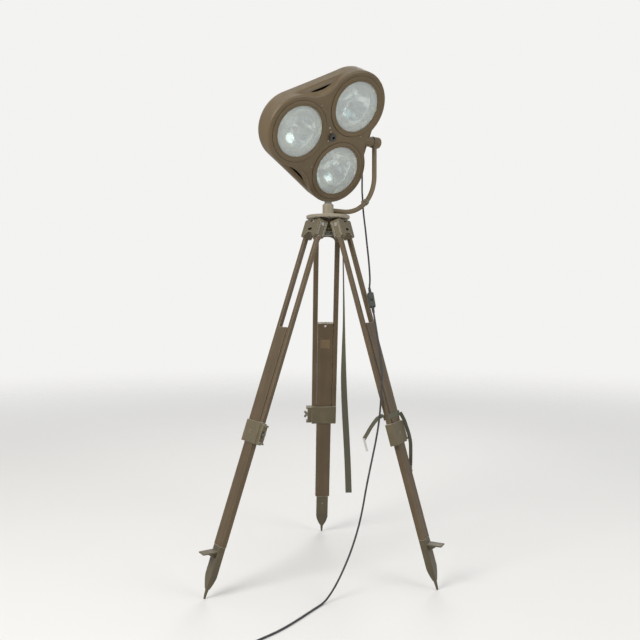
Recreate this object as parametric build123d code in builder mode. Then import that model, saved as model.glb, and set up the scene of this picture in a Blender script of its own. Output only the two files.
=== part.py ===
from build123d import *
import os
from math import acos, asin, atan2, cos, hypot, pi, radians, sin, sqrt, tan

# Surgical floor lamp: a three-lens head in a side yoke, on a folding tripod with sliding legs.
# Millimetres, +Z up. The origin is on the floor, on the tripod's axis, and the back leg points along +Y.

os.makedirs("parts", exist_ok=True)

# Clearances
running_gap = 0.05
loose_gap = 0.3
slide_gap = 0.4

# Tripod stance
hinge_height = 1340
hinge_radius = 58
leg_azimuth = {"left": 210, "right": 330, "back": 90}
foot_reach = {"left": 522, "right": 444, "back": 476}
toe_radius = 4

# Tripod head
plate_radius = 84
plate_thickness = 13
plate_underside = 1366
plate_edge = 4
spider_radius = 28
spider_height = 51
tongue_width = 50
tongue_radius = 12
pin_radius = 6
bracket_width = 107
bracket_depth = 38
bracket_top = 18
bracket_drop = 52
bracket_corner = 8
bracket_front_round = 4
bracket_wall = 6
bracket_slot = (30, 12)
bracket_slot_drop = 22
bracket_window = (24, 7)
bracket_window_rise = 9
arch_width = 60
arch_height = 18
socket_depth = 22
cheek_rib = (4, 2.5)
cheek_rib_spacing = 24
cheek_rib_length = 50
spigot_radius = 15
spigot_height = 38.5
stud_radius = 10
nut_across = 36
nut_height = 12
cap_bolt_across = 24
cap_bolt_head = 7.5
cap_washer_radius = 16
cap_washer_thickness = 2
cap_bolt_radius = 6
cap_bolt_depth = 25

# Legs
rail_width = 20
rail_depth = 16
rail_spacing = 84
rail_corner = 3
tenon = (12, 12)
tenon_length = 20
collar_distance = 773
collar_height = 80
collar_depth = 29
collar_corner = 3
rivet_radius = 6
rivet_height = 2
clamp_reach = 18
clamp_ledge_reach = 24
clamp_ledge = 7
clamp_height = 72
clamp_depth = 20
clamp_bore_drop = 40
slider_length = 1006
slider_width = 62
slider_depth = 20
slider_corner = 2.5
boot_length = 188
boot_width = 51
boot_depth = 26
boot_corner = 5
boot_straight_end = 82
boot_middle_distance = 58
boot_middle_size = (21, 38)
boot_tip_distance = 34
boot_tip_size = (15, 15)
boot_tongue = (14, 40)
boot_tongue_length = 70
spike_radius = 6
spike_root = 40
spike_shoulder = 4
step_distance = 168
step_reach = 54
step_width = 38
step_thickness = 5
step_root = 4
step_web_reach = 39
step_web_drop = 26
step_web_width = 22

# Wing screws
wing_shank_radius = 4
wing_hub_radius = 7
wing_hub_length = 7
wing_span = 30
wing_height = 14
wing_thickness = 4
wing_gap = 0.5

# Yoke
hub_radius = 21.3
hub_height = 44.5
hub_shoulder = 4
hub_roof = 5.5
arm_radius = 9.5
arm_height = 1400
arm_reach = 234.5
arm_bend = 157
arm_root = 17
pivot_height = 1690.6
knuckle_radius = 22.5
knuckle_inner = 221
knuckle_outer = 256
knuckle_round = 5
pivot_bolt_radius = 8
pivot_bolt_inner = 180
pivot_cap_radius = 15
pivot_cap_height = 5
washer_thickness = 1.5
washer_radius = 19
yoke_yaw = 33.45

# Head pose and outline
head_dip = 28.5
face_ahead = 27
lens_circle = 147.6
lens_angle = {"top": 60, "left": 180, "bottom": 300}
lobe_radius = 135
waist_front = 174
waist_rear = 208
scoop_lip = 12
scoop_depth = 34
head_depth = 103
head_wall = 3
face_round = 8
back_round = 35

# Lens openings
bezel_hole = 112
bezel_inner = 96.4
bezel_outer = 115
bezel_step = 103
bezel_lip = 2.2
bezel_height = 4
bezel_spigot = (108, 111.7)
bezel_spigot_depth = 10
groove_width = 2
groove_depth = 1.5
gasket_inner = 98
gasket_thickness = 1.5
glass_radius = 107.7
glass_thickness = 4
reflector_wall = 1.2
liner_mouth = 99
liner_end = 87.4
liner_depth = 40
bowl_depth = 86
bridge_depth = 41
bridge_rise = 3
bridge_rod_radius = 1.5
bridge_rod_spacing = 9
holder_radius = 8
holder_length = 12
bulb_radius = 6.5
bulb_length = 24

# Head inside
frame_depth = 90
frame_thickness = 3
frame_arm_width = 26
frame_strut_width = 14
frame_middle_radius = 42
frame_pad_radius = 15
face_screw_circle = 137
face_screw_angles = (8, 128, 248)
post_radius = 5
face_screw_radius = 2
face_screw_head = (3.2, 1.6)
face_screw_length = 14
tab_inner = 156
tab_thickness = 4
tab_half_width = 32
boss_radius = 20
boss_flange = 6
boss_flange_width = 60
boss_flange_front = 8
boss_flange_back = 57
socket_radius = 13.5
socket_proud = 14
socket_flange_radius = 26
socket_flange_thickness = 4
handle_bore_radius = 6
handle_bore_depth = 24
socket_screw_circle = 20.5
socket_screw_head = (2.6, 1.4)
socket_screw_radius = 1.5
socket_screw_length = 6
spare_screw_circle = 38
spare_screw_angle = 122

# Head back
opening_lobe = 82
opening_waist = 155
cover_lobe = 97
cover_waist = 170
cover_thickness = 2.5
cover_screw_lobe = 90
cover_screw_waist = 162.5
cover_screw_radius = 2
cover_screw_head = (4.5, 2.2)
cover_screw_length = 4.5
vent_slot = (44, 5)
vent_spacing = 12
vent_count = 5
box_left = 112
box_right = 158
box_bottom = -75
box_top = -25
box_depth = 37.5
box_wall = 2.5
box_corner = 6
wire_hole_radius = 8
terminal_size = (30, 22, 16)
gland_nut_across = 20
gland_nut_length = 12
gland_bore_gap = 0.3
relief_length = 22
relief_root_radius = 6.5
relief_tip_radius = 5
cord_grip = 6
gland_drop = 19.5

# Cable
cord_radius = 3.5
cord_rest = 3.6
clip_reach = 189
clip_stand_off = 18
clip_width = 12
clip_wall = 2.7
clip_slope = 66
clip_run = 32
switch_size = (60, 24, 18)
switch_run = 26
switch_corner = 5
switch_end_round = 3
key_size = (12, 8, 4)
key_round = 1.5
key_travel = 5
key_slot_depth = 2.5
coil_turns = 3
coil_outer = 50
coil_pitch = 7.6
coil_layer_step = 7.5
coil_lead_in = 10
coil_lead = 46
plug_size = (36, 40, 21)
plug_corner = 8
plug_neck = (22, 15)
plug_neck_corner = 5
plug_shoulder = 16
plug_edge = 1.5
plug_pin_radius = 2.4
plug_pin_length = 19
plug_pin_spacing = 19

# Straps
webbing_width = 25
webbing_thickness = 2.5
ring_wire = 2
ring_width = 40
ring_height = 34
ring_corner = 5
strap_pin_reach = 18
strap_pin_head = (10, 3)
leg_strap_distance = 735
leg_strap_width = 20
leg_strap_thickness = 2.5
tail_width = 14
tongue_section = (8, 3.5)
tongue_tip = (-99, -76, -852)
buckle_size = (20, 26)
buckle_wire = 3


def save(piece, name):
    """Labels a finished piece and writes it as its own file."""
    piece.part.label = name
    export_step(piece.part, f"parts/{name}.step")


# Frames of reference

def leg_splay(leg):
    """Angle in radians between a leg and the vertical."""
    return atan2(foot_reach[leg] - hinge_radius, hinge_height - toe_radius)


def leg_length(leg):
    """Distance from the hinge pin to the toe's lowest point, measured down the leg."""
    return hypot(foot_reach[leg] - hinge_radius, hinge_height - toe_radius) + toe_radius


def leg_plane(leg):
    """Plane at the hinge pin: x away from the tripod's axis, y along the pin, z up the leg."""
    azimuth = radians(leg_azimuth[leg])
    splay = leg_splay(leg)
    away = Vector(cos(azimuth), sin(azimuth), 0)
    outward = away * cos(splay) + Vector(0, 0, sin(splay))
    up_leg = away * -sin(splay) + Vector(0, 0, cos(splay))
    hinge = away * hinge_radius + Vector(0, 0, hinge_height)
    return Plane(hinge, x_dir=outward, z_dir=up_leg)


def facing(hinge, outward):
    """Plane seen from outside the leg: x along the pin, y up the leg, facing away from the axis."""
    return Plane(hinge.origin + hinge.x_dir * outward, x_dir=hinge.y_dir, z_dir=hinge.x_dir)


def beside(hinge, along_pin):
    """Plane on the leg's side: x up the leg, y outward, facing along the pin."""
    return Plane(hinge.origin + hinge.y_dir * along_pin, x_dir=hinge.z_dir, z_dir=hinge.y_dir)


yaw = radians(yoke_yaw)
dip = radians(head_dip)
yoke_out = Vector(cos(yaw), sin(yaw), 0)
yoke_front = Vector(sin(yaw), -cos(yaw), 0)
up = Vector(0, 0, 1)
pivot_point = up * pivot_height
head_normal = yoke_front * cos(dip) - up * sin(dip)
face = Plane(pivot_point + head_normal * face_ahead, x_dir=yoke_out, z_dir=head_normal)
yoke_side = Plane((0, 0, 0), x_dir=yoke_out, z_dir=yoke_front)


def yoke_section(reach):
    """Plane square to the tilt axis at a distance from the tripod's axis."""
    return Plane(pivot_point + yoke_out * reach, x_dir=up, z_dir=yoke_out)


def on_face(x, y, depth=0):
    """World point given by its place on the face and its depth behind it."""
    return face.from_local_coords(Vector(x, y, -depth))


def lens_plane(lens, depth=0):
    """Plane at a lens centre: x away from the middle of the head, facing forward."""
    angle = radians(lens_angle[lens])
    centre = on_face(lens_circle * cos(angle), lens_circle * sin(angle), depth)
    outward = face.x_dir * cos(angle) + face.y_dir * sin(angle)
    return Plane(centre, x_dir=outward, z_dir=face.z_dir)


def upright(plane):
    """Plane through another plane's x and z axes, for profiles that are revolved about its z."""
    return Plane(plane.origin, x_dir=plane.x_dir, z_dir=plane.x_dir.cross(plane.z_dir))


def sphere_arc(chord, sag):
    """Radius and half angle of the arc that has this half chord and sag."""
    radius = (chord * chord + sag * sag) / (2 * sag)
    return radius, asin(chord / radius)


# Head shell

def three_lobes(depth, lobe, waist):
    """Face of the head's outline: a round lobe at each lens, joined by three hollow waists."""
    along = lens_circle * cos(radians(60))
    aside = lens_circle * sin(radians(60))
    over = waist - along
    hollow = (over * over + aside * aside - lobe * lobe) / (2 * (lobe - over))
    share = lobe / (lobe + hollow)
    joint_x = along + (over + hollow) * share
    joint_y = aside * (1 - share)
    with BuildSketch(face.offset(-depth)) as outline:
        with BuildLine():
            for turn in (0, 120, 240):
                start = Vector(joint_x, -joint_y).rotate(Axis.Z, turn)
                middle = Vector(waist, 0).rotate(Axis.Z, turn)
                end = Vector(joint_x, joint_y).rotate(Axis.Z, turn)
                crest = Vector(lens_circle + lobe, 0).rotate(Axis.Z, turn + 60)
                following = Vector(joint_x, -joint_y).rotate(Axis.Z, turn + 120)
                ThreePointArc(start, middle, end)
                ThreePointArc(end, crest, following)
        make_face()
    return outline.sketch


def scoop_waist(depth):
    """Waist radius at a depth behind the face: upright behind the lip, then an easy curve to the hull's."""
    share = min(max((depth - scoop_lip) / (scoop_depth - scoop_lip), 0), 1)
    return waist_front + (waist_rear - waist_front) * share * share * (3 - 2 * share)


def scoop_sections(first_depth, inset):
    """Outlines from a first depth to the foot of the scoops, each drawn in by the inset."""
    steps = 4
    depths = [first_depth + (scoop_depth - first_depth) * step / steps for step in range(steps + 1)]
    return [three_lobes(depth, lobe_radius - inset, scoop_waist(depth) - inset) for depth in depths]


def screw_places(circle, angles):
    """Points on the face at one distance from its middle."""
    return [(circle * cos(radians(angle)), circle * sin(radians(angle))) for angle in angles]


socket_screw_places = screw_places(socket_screw_circle, (0, 120, 240))
spare_screw_place = screw_places(spare_screw_circle, (spare_screw_angle,))
face_screw_places = screw_places(face_screw_circle, face_screw_angles)
lens_places = screw_places(lens_circle, lens_angle.values())
lobe_screw_places = screw_places(lens_circle + cover_screw_lobe, (60, 180, 300))
cover_screw_places = lobe_screw_places + screw_places(cover_screw_waist, (0, 120, 240))


def make_head_housing():
    outer_front = scoop_sections(0, 0)
    inner_front = scoop_sections(head_wall, head_wall)
    outer_back = three_lobes(scoop_depth, lobe_radius, waist_rear)
    inner_back = three_lobes(scoop_depth, lobe_radius - head_wall, waist_rear - head_wall)
    opening = three_lobes(head_depth + head_wall, opening_lobe, opening_waist)
    with BuildPart() as head_housing:
        loft(outer_front)
        extrude(outer_back, amount=scoop_depth - head_depth)
        back_edges = head_housing.faces().sort_by(Axis(face.origin, face.z_dir))[0].edges()
        fillet(back_edges, back_round)
        front_edges = head_housing.faces().sort_by(Axis(face.origin, face.z_dir))[-1].edges()
        fillet(front_edges, face_round)
    with BuildPart() as hollow:
        loft(inner_front)
        extrude(inner_back, amount=scoop_depth - head_depth + head_wall)
        back_edges = hollow.faces().sort_by(Axis(face.origin, face.z_dir))[0].edges()
        fillet(back_edges, back_round - head_wall)
        front_edges = hollow.faces().sort_by(Axis(face.origin, face.z_dir))[-1].edges()
        fillet(front_edges, face_round - head_wall)
    with head_housing:
        add(hollow.part, mode=Mode.SUBTRACT)
        extrude(opening, amount=3 * head_wall, mode=Mode.SUBTRACT)
        with BuildSketch(face):
            with Locations(*lens_places):
                Circle(bezel_hole)
            Circle(socket_radius + loose_gap)
            with Locations(*face_screw_places):
                Circle(face_screw_radius + running_gap)
            with Locations(*socket_screw_places, *spare_screw_place):
                Circle(socket_screw_radius + running_gap)
        extrude(amount=-2 * head_wall, mode=Mode.SUBTRACT)
        with BuildSketch(face):
            with Locations(*lens_places):
                Circle(bezel_outer + groove_width)
                Circle(bezel_outer, mode=Mode.SUBTRACT)
        extrude(amount=-groove_depth, mode=Mode.SUBTRACT)
        with BuildSketch(face.offset(-head_depth)):
            with Locations(*cover_screw_places):
                Circle(cover_screw_radius + running_gap)
        extrude(amount=2 * head_wall, mode=Mode.SUBTRACT)
        with BuildSketch(yoke_section(tab_inner)):
            Circle(boss_radius + loose_gap)
        extrude(amount=lobe_radius, mode=Mode.SUBTRACT)
    save(head_housing, "head_housing")


def make_bezel(lens):
    """Raised ring round a lens, with a lower inner lip and a spigot in the face's hole."""
    plane = lens_plane(lens)
    spigot_inner, spigot_outer = bezel_spigot
    rise = bezel_height - bezel_lip
    with BuildPart() as bezel:
        with BuildSketch(upright(plane)):
            with BuildLine():
                Polyline(
                    (bezel_inner, 0),
                    (bezel_inner, bezel_lip - 0.4),
                    (bezel_inner + 0.6, bezel_lip),
                    (bezel_step, bezel_lip),
                    (bezel_step + 1, bezel_height - 0.3),
                    (bezel_step + 2, bezel_height),
                    (bezel_outer - rise, bezel_height),
                    (bezel_outer, bezel_height - rise),
                    (bezel_outer, 0),
                    (spigot_outer, 0),
                    (spigot_outer, -bezel_spigot_depth),
                    (spigot_inner, -bezel_spigot_depth),
                    (spigot_inner, 0),
                    close=True,
                )
            make_face()
        revolve(axis=Axis(plane.origin, plane.z_dir))
    save(bezel, f"bezel_{lens}")


def make_lens_gaskets():
    with BuildPart() as lens_gaskets:
        with BuildSketch(face):
            with Locations(*lens_places):
                Circle(glass_radius)
                Circle(gasket_inner, mode=Mode.SUBTRACT)
        extrude(amount=-gasket_thickness)
    save(lens_gaskets, "lens_gaskets")


def make_lens_glasses():
    with BuildPart() as lens_glasses:
        with BuildSketch(face.offset(-gasket_thickness)):
            with Locations(*lens_places):
                Circle(glass_radius)
        extrude(amount=-glass_thickness)
        chamfer(lens_glasses.edges().filter_by(GeomType.CIRCLE), 0.6)
    save(lens_glasses, "lens_glasses")


def make_reflectors():
    """Three dished mirrors: a rim behind the glass, a conical liner and a round bowl."""
    rim_depth = gasket_thickness + glass_thickness
    bowl_radius, half_angle = sphere_arc(liner_end, bowl_depth - liner_depth)
    bowl_centre = bowl_radius - bowl_depth
    inner_middle = (bowl_radius * sin(half_angle / 2), bowl_centre - bowl_radius * cos(half_angle / 2))
    outer_radius = bowl_radius + reflector_wall
    outer_end = liner_end + reflector_wall
    outer_angle = asin(outer_end / outer_radius)
    outer_depth = bowl_centre - outer_radius * cos(outer_angle)
    outer_middle = (outer_radius * sin(outer_angle / 2), bowl_centre - outer_radius * cos(outer_angle / 2))
    outer_mouth = liner_mouth + reflector_wall
    with BuildPart() as reflectors:
        for lens in lens_angle:
            plane = lens_plane(lens)
            with BuildSketch(upright(plane)):
                with BuildLine():
                    Line((liner_mouth, -rim_depth), (liner_end, -liner_depth))
                    ThreePointArc((liner_end, -liner_depth), inner_middle, (0, -bowl_depth))
                    Line((0, -bowl_depth), (0, -bowl_depth - reflector_wall))
                    ThreePointArc((0, -bowl_depth - reflector_wall), outer_middle, (outer_end, outer_depth))
                    Line((outer_end, outer_depth), (outer_mouth, -rim_depth - reflector_wall))
                    Line((outer_mouth, -rim_depth - reflector_wall), (glass_radius, -rim_depth - reflector_wall))
                    Line((glass_radius, -rim_depth - reflector_wall), (glass_radius, -rim_depth))
                    Line((glass_radius, -rim_depth), (liner_mouth, -rim_depth))
                make_face()
            revolve(axis=Axis(plane.origin, plane.z_dir))
    save(reflectors, "reflectors")


def liner_radius_at(depth):
    """Inner radius of the conical liner at a depth behind the face."""
    rim_depth = gasket_thickness + glass_thickness
    share = (depth - rim_depth) / (liner_depth - rim_depth)
    return liner_mouth + (liner_end - liner_mouth) * share


def make_lamp_bridges():
    """Pairs of rods across each reflector, with the lamp holder at their middle."""
    depth = bridge_depth - bridge_rise
    aside = bridge_rod_spacing / 2 + bridge_rod_radius
    reach = sqrt((liner_radius_at(depth + bridge_rod_radius) - loose_gap) ** 2 - aside ** 2)
    with BuildPart() as lamp_bridges:
        for lens in lens_angle:
            plane = lens_plane(lens, depth)
            section = Plane(plane.origin - plane.x_dir * reach, x_dir=plane.y_dir, z_dir=plane.x_dir)
            with BuildSketch(section):
                with GridLocations(bridge_rod_spacing, 0, 2, 1):
                    Circle(bridge_rod_radius)
            extrude(amount=2 * reach)
            with BuildSketch(plane.offset(-holder_length / 2)):
                Circle(holder_radius)
            extrude(amount=holder_length)
    save(lamp_bridges, "lamp_bridges")


def make_bulbs():
    depth = bridge_depth - bridge_rise + holder_length / 2
    with BuildPart() as bulbs:
        for lens in lens_angle:
            plane = lens_plane(lens, depth)
            with BuildSketch(upright(plane)):
                with BuildLine():
                    Line((0, 0), (bulb_radius, 0))
                    Line((bulb_radius, 0), (bulb_radius, bulb_radius - bulb_length))
                    RadiusArc((bulb_radius, bulb_radius - bulb_length), (0, -bulb_length), bulb_radius)
                    Line((0, -bulb_length), (0, 0))
                make_face()
            revolve(axis=Axis(plane.origin, plane.z_dir))
    save(bulbs, "bulbs")


def make_lamp_frame():
    """Inner plate with an arm to each lens and each face screw, and a tab that carries the pivot boss."""
    pad_height = frame_depth + frame_thickness - bowl_depth - reflector_wall - loose_gap
    post_height = frame_depth + frame_thickness - head_wall
    tab_height = frame_depth + frame_thickness - boss_flange_front
    back = face.offset(-frame_depth - frame_thickness)
    with BuildPart() as lamp_frame:
        with BuildSketch(back):
            with PolarLocations(lens_circle / 2, 3, start_angle=60):
                Rectangle(lens_circle, frame_arm_width)
            with PolarLocations(face_screw_circle / 2, 3, start_angle=face_screw_angles[0]):
                Rectangle(face_screw_circle + frame_strut_width, frame_strut_width)
            with Locations((tab_inner / 2, 0)):
                Rectangle(tab_inner, 2 * tab_half_width)
            Circle(frame_middle_radius)
        extrude(amount=frame_thickness)
        with BuildSketch(back):
            with Locations(*lens_places):
                Circle(frame_pad_radius)
        extrude(amount=pad_height)
        with BuildSketch(back):
            with Locations(*face_screw_places):
                Circle(post_radius)
        extrude(amount=post_height)
        with BuildSketch(back):
            with Locations((tab_inner + tab_thickness / 2, 0)):
                Rectangle(tab_thickness, 2 * tab_half_width)
        extrude(amount=tab_height)
        with BuildSketch(face.offset(-head_wall)):
            with Locations(*face_screw_places):
                Circle(face_screw_radius + running_gap)
        extrude(amount=head_wall - face_screw_length - loose_gap, mode=Mode.SUBTRACT)
    save(lamp_frame, "lamp_frame")


def make_pivot_boss():
    """Round boss on the tilt axis, through the side wall, with a square flange on the frame's tab."""
    start = tab_inner + tab_thickness
    end = knuckle_inner - washer_thickness
    flange_plane = Plane(on_face(start, 0, (boss_flange_front + boss_flange_back) / 2),
                         x_dir=face.z_dir, z_dir=yoke_out)
    with BuildPart() as pivot_boss:
        with BuildSketch(flange_plane):
            Rectangle(boss_flange_back - boss_flange_front, boss_flange_width)
        extrude(amount=boss_flange)
        with BuildSketch(yoke_section(start)):
            Circle(boss_radius)
        extrude(amount=end - start)
        rim = pivot_boss.faces().sort_by(Axis(pivot_point, yoke_out))[-1].edges()
        chamfer(rim, 1)
        with BuildSketch(yoke_section(end)):
            Circle(pivot_bolt_radius + running_gap)
        extrude(amount=pivot_bolt_inner - loose_gap - end, mode=Mode.SUBTRACT)
    save(pivot_boss, "pivot_boss")


def make_handle_socket():
    """Knob in the middle of the face, bored for a handle and flanged behind the face."""
    with BuildPart() as handle_socket:
        with BuildSketch(face.offset(socket_proud)):
            Circle(socket_radius)
        extrude(amount=-socket_proud - head_wall - socket_flange_thickness)
        fillet(handle_socket.faces().sort_by(Axis(face.origin, face.z_dir))[-1].edges(), 2)
        with BuildSketch(face.offset(-head_wall)):
            Circle(socket_flange_radius)
        extrude(amount=-socket_flange_thickness)
        with BuildSketch(face.offset(-head_wall - socket_flange_thickness)):
            Circle(handle_bore_radius + 4)
        extrude(amount=socket_proud + head_wall + socket_flange_thickness - handle_bore_depth - 3)
        with BuildSketch(face.offset(socket_proud)):
            Circle(handle_bore_radius)
        extrude(amount=-handle_bore_depth, mode=Mode.SUBTRACT)
        with BuildSketch(face.offset(-head_wall)):
            with Locations(*socket_screw_places):
                Circle(socket_screw_radius + running_gap)
        extrude(amount=-socket_flange_thickness, mode=Mode.SUBTRACT)
    save(handle_socket, "handle_socket")


def screw_solids(plane, places, head_size, shank_radius, shank_length):
    """Domed screws standing on a plane, with their shanks behind it."""
    head_radius, head_height = head_size
    dome_radius, half_angle = sphere_arc(head_radius, head_height)
    dome_middle = (dome_radius * sin(half_angle / 2),
                   head_height - dome_radius * (1 - cos(half_angle / 2)))
    with BuildPart() as screws:
        for x, y in places:
            at = Plane(plane.from_local_coords(Vector(x, y, 0)), x_dir=plane.x_dir, z_dir=plane.z_dir)
            with BuildSketch(upright(at)):
                with BuildLine():
                    Line((0, head_height), (0, -shank_length))
                    Line((0, -shank_length), (shank_radius, -shank_length))
                    Line((shank_radius, -shank_length), (shank_radius, 0))
                    Line((shank_radius, 0), (head_radius, 0))
                    ThreePointArc((head_radius, 0), dome_middle, (0, head_height))
                make_face()
            revolve(axis=Axis(at.origin, at.z_dir))
    return screws


def make_head_screws():
    face_screws = screw_solids(face, face_screw_places, face_screw_head, face_screw_radius,
                               face_screw_length)
    save(face_screws, "face_screws")
    socket_screws = screw_solids(face, socket_screw_places + spare_screw_place, socket_screw_head,
                                 socket_screw_radius, socket_screw_length)
    save(socket_screws, "socket_screws")
    back = Plane(on_face(0, 0, head_depth + cover_thickness), x_dir=-face.x_dir, z_dir=-face.z_dir)
    mirrored = [(-x, y) for x, y in cover_screw_places]
    cover_screws = screw_solids(back, mirrored, cover_screw_head, cover_screw_radius, cover_screw_length)
    save(cover_screws, "rear_cover_screws")


box_middle_x = (box_left + box_right) / 2
box_middle_y = (box_bottom + box_top) / 2
cover_back = head_depth + cover_thickness
gland_depth = cover_back + gland_drop


def make_rear_cover():
    """Flat plate over the back opening, with vent slots behind each lamp and a hole for the wires."""
    outline = three_lobes(head_depth, cover_lobe, cover_waist)
    with BuildPart() as rear_cover:
        extrude(outline, amount=-cover_thickness)
        back_edges = rear_cover.faces().sort_by(Axis(face.origin, face.z_dir))[0].edges()
        chamfer(back_edges, cover_thickness / 3)
        with BuildSketch(face.offset(-head_depth)):
            with PolarLocations(lens_circle, 3, start_angle=60):
                with GridLocations(vent_spacing, 0, vent_count, 1):
                    SlotOverall(*vent_slot, rotation=90)
            with Locations((box_middle_x, box_middle_y)):
                Circle(wire_hole_radius)
            with Locations(*cover_screw_places):
                Circle(cover_screw_radius + running_gap)
        extrude(amount=-cover_thickness, mode=Mode.SUBTRACT)
    save(rear_cover, "rear_cover")


def make_cable_box():
    """Shallow box on the rear cover that holds the terminals, open towards the cover."""
    size = (box_right - box_left, box_top - box_bottom)
    with BuildPart() as cable_box:
        with BuildSketch(face.offset(-cover_back)):
            with Locations((box_middle_x, box_middle_y)):
                RectangleRounded(*size, box_corner)
        extrude(amount=-box_depth)
        far_edges = cable_box.faces().sort_by(Axis(face.origin, face.z_dir))[0].edges()
        fillet(far_edges, box_wall)
        with BuildSketch(face.offset(-cover_back)):
            with Locations((box_middle_x, box_middle_y)):
                RectangleRounded(size[0] - 2 * box_wall, size[1] - 2 * box_wall, box_corner - box_wall)
        extrude(amount=box_wall - box_depth, mode=Mode.SUBTRACT)
        with BuildSketch(gland_plane(box_right)):
            Circle(relief_root_radius + running_gap)
        extrude(amount=-2 * box_wall, mode=Mode.SUBTRACT)
    save(cable_box, "cable_box")


def gland_plane(x):
    """Plane square to the cable's way out of its box, at a place across the head."""
    return Plane(on_face(x, box_middle_y, gland_depth), x_dir=face.z_dir, z_dir=face.x_dir)


def make_terminal_block():
    length, width, height = terminal_size
    with BuildPart() as terminal_block:
        with BuildSketch(face.offset(-cover_back)):
            with Locations((box_middle_x, box_middle_y)):
                Rectangle(width, length)
                Circle(wire_hole_radius / 2, mode=Mode.SUBTRACT)
        extrude(amount=-height)
        with BuildSketch(face.offset(-cover_back - height)):
            with Locations((box_middle_x, box_middle_y)):
                with GridLocations(width / 2, length / 3, 2, 3):
                    Circle(2)
        extrude(amount=3, mode=Mode.SUBTRACT)
    save(terminal_block, "terminal_block")


def make_cable_gland():
    """Hexagon nut on the box's side with a tapered strain relief, bored for the cable."""
    start = box_right
    nut_end = start + gland_nut_length
    with BuildPart() as cable_gland:
        with BuildSketch(gland_plane(start)):
            RegularPolygon(gland_nut_across / 2, 6, major_radius=False)
        extrude(amount=gland_nut_length)
        with BuildSketch(gland_plane(start)):
            Circle(relief_root_radius)
        extrude(amount=-box_wall)
        with BuildSketch(gland_plane(nut_end)):
            Circle(relief_root_radius)
        with BuildSketch(gland_plane(nut_end + relief_length)):
            Circle(relief_tip_radius)
        loft()
        with BuildSketch(gland_plane(nut_end + relief_length)):
            Circle(cord_radius + gland_bore_gap)
        extrude(amount=-relief_length - gland_nut_length - box_wall, mode=Mode.SUBTRACT)
    save(cable_gland, "cable_gland")


# Yoke

def make_yoke_arm():
    with BuildPart() as yoke_arm:
        with BuildLine(yoke_side) as bar:
            FilletPolyline((arm_root, arm_height), (arm_reach, arm_height), (arm_reach, pivot_height),
                           radius=arm_bend)
        with BuildSketch(Plane(bar.line @ 0, x_dir=up, z_dir=yoke_out)):
            Circle(arm_radius)
        sweep(path=bar.wires()[0])
        with BuildSketch(yoke_section(knuckle_inner)):
            Circle(knuckle_radius)
        extrude(amount=knuckle_outer - knuckle_inner)
        end_face = yoke_arm.faces().sort_by(Axis(pivot_point, yoke_out))[-1]
        fillet(end_face.edges(), knuckle_round)
        with BuildSketch(yoke_section(knuckle_inner)):
            Circle(pivot_bolt_radius + running_gap)
        extrude(amount=knuckle_outer - knuckle_inner, mode=Mode.SUBTRACT)
    save(yoke_arm, "yoke_arm")


plate_top = plate_underside + plate_thickness
hub_top = plate_top + hub_height


def make_yoke_hub():
    """Upright socket that turns on the tripod's spigot and carries the arm."""
    bore_height = hub_height - hub_roof
    with BuildPart() as yoke_hub:
        with BuildSketch(Plane.XY.offset(plate_top)):
            Circle(hub_radius)
        extrude(amount=hub_height)
        fillet(yoke_hub.faces().sort_by(Axis.Z)[-1].edges(), hub_shoulder)
        with BuildSketch(Plane.XY.offset(plate_top)):
            Circle(spigot_radius + running_gap)
        extrude(amount=bore_height, mode=Mode.SUBTRACT)
        with BuildSketch(Plane.XY.offset(plate_top)):
            Circle(cap_bolt_radius + loose_gap)
        extrude(amount=hub_height, mode=Mode.SUBTRACT)
        with BuildSketch(Plane(up * arm_height + yoke_out * arm_root, x_dir=up, z_dir=yoke_out)):
            Circle(arm_radius + running_gap)
        extrude(amount=hub_radius, mode=Mode.SUBTRACT)
    save(yoke_hub, "yoke_hub")


def make_pivot_bolt():
    dome_radius, half_angle = sphere_arc(pivot_cap_radius, pivot_cap_height)
    cap_end = knuckle_outer + pivot_cap_height
    dome_middle = (dome_radius * sin(half_angle / 2), cap_end - dome_radius * (1 - cos(half_angle / 2)))
    profile = Plane(pivot_point, x_dir=up, z_dir=up.cross(yoke_out))
    with BuildPart() as pivot_bolt:
        with BuildSketch(profile):
            with BuildLine():
                Line((0, pivot_bolt_inner), (pivot_bolt_radius, pivot_bolt_inner))
                Line((pivot_bolt_radius, pivot_bolt_inner), (pivot_bolt_radius, knuckle_outer))
                Line((pivot_bolt_radius, knuckle_outer), (pivot_cap_radius, knuckle_outer))
                ThreePointArc((pivot_cap_radius, knuckle_outer), dome_middle, (0, cap_end))
                Line((0, cap_end), (0, pivot_bolt_inner))
            make_face()
        revolve(axis=Axis(pivot_point, yoke_out))
    save(pivot_bolt, "pivot_bolt")


def make_friction_washer():
    with BuildPart() as friction_washer:
        with BuildSketch(yoke_section(knuckle_inner)):
            Circle(washer_radius)
            Circle(pivot_bolt_radius + running_gap, mode=Mode.SUBTRACT)
        extrude(amount=-washer_thickness)
    save(friction_washer, "friction_washer")


# Cable clip on the arm's back
clip_turn = acos((clip_reach - arm_reach + arm_bend) / arm_bend)
clip_arm_point = yoke_out * clip_reach + up * (arm_height + arm_bend * (1 - sin(clip_turn)))
clip_arm_way = yoke_out * sin(clip_turn) + up * cos(clip_turn)
clip_point = clip_arm_point - yoke_front * clip_stand_off
clip_way = Vector(0, cos(radians(clip_slope)), sin(radians(clip_slope)))


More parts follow.
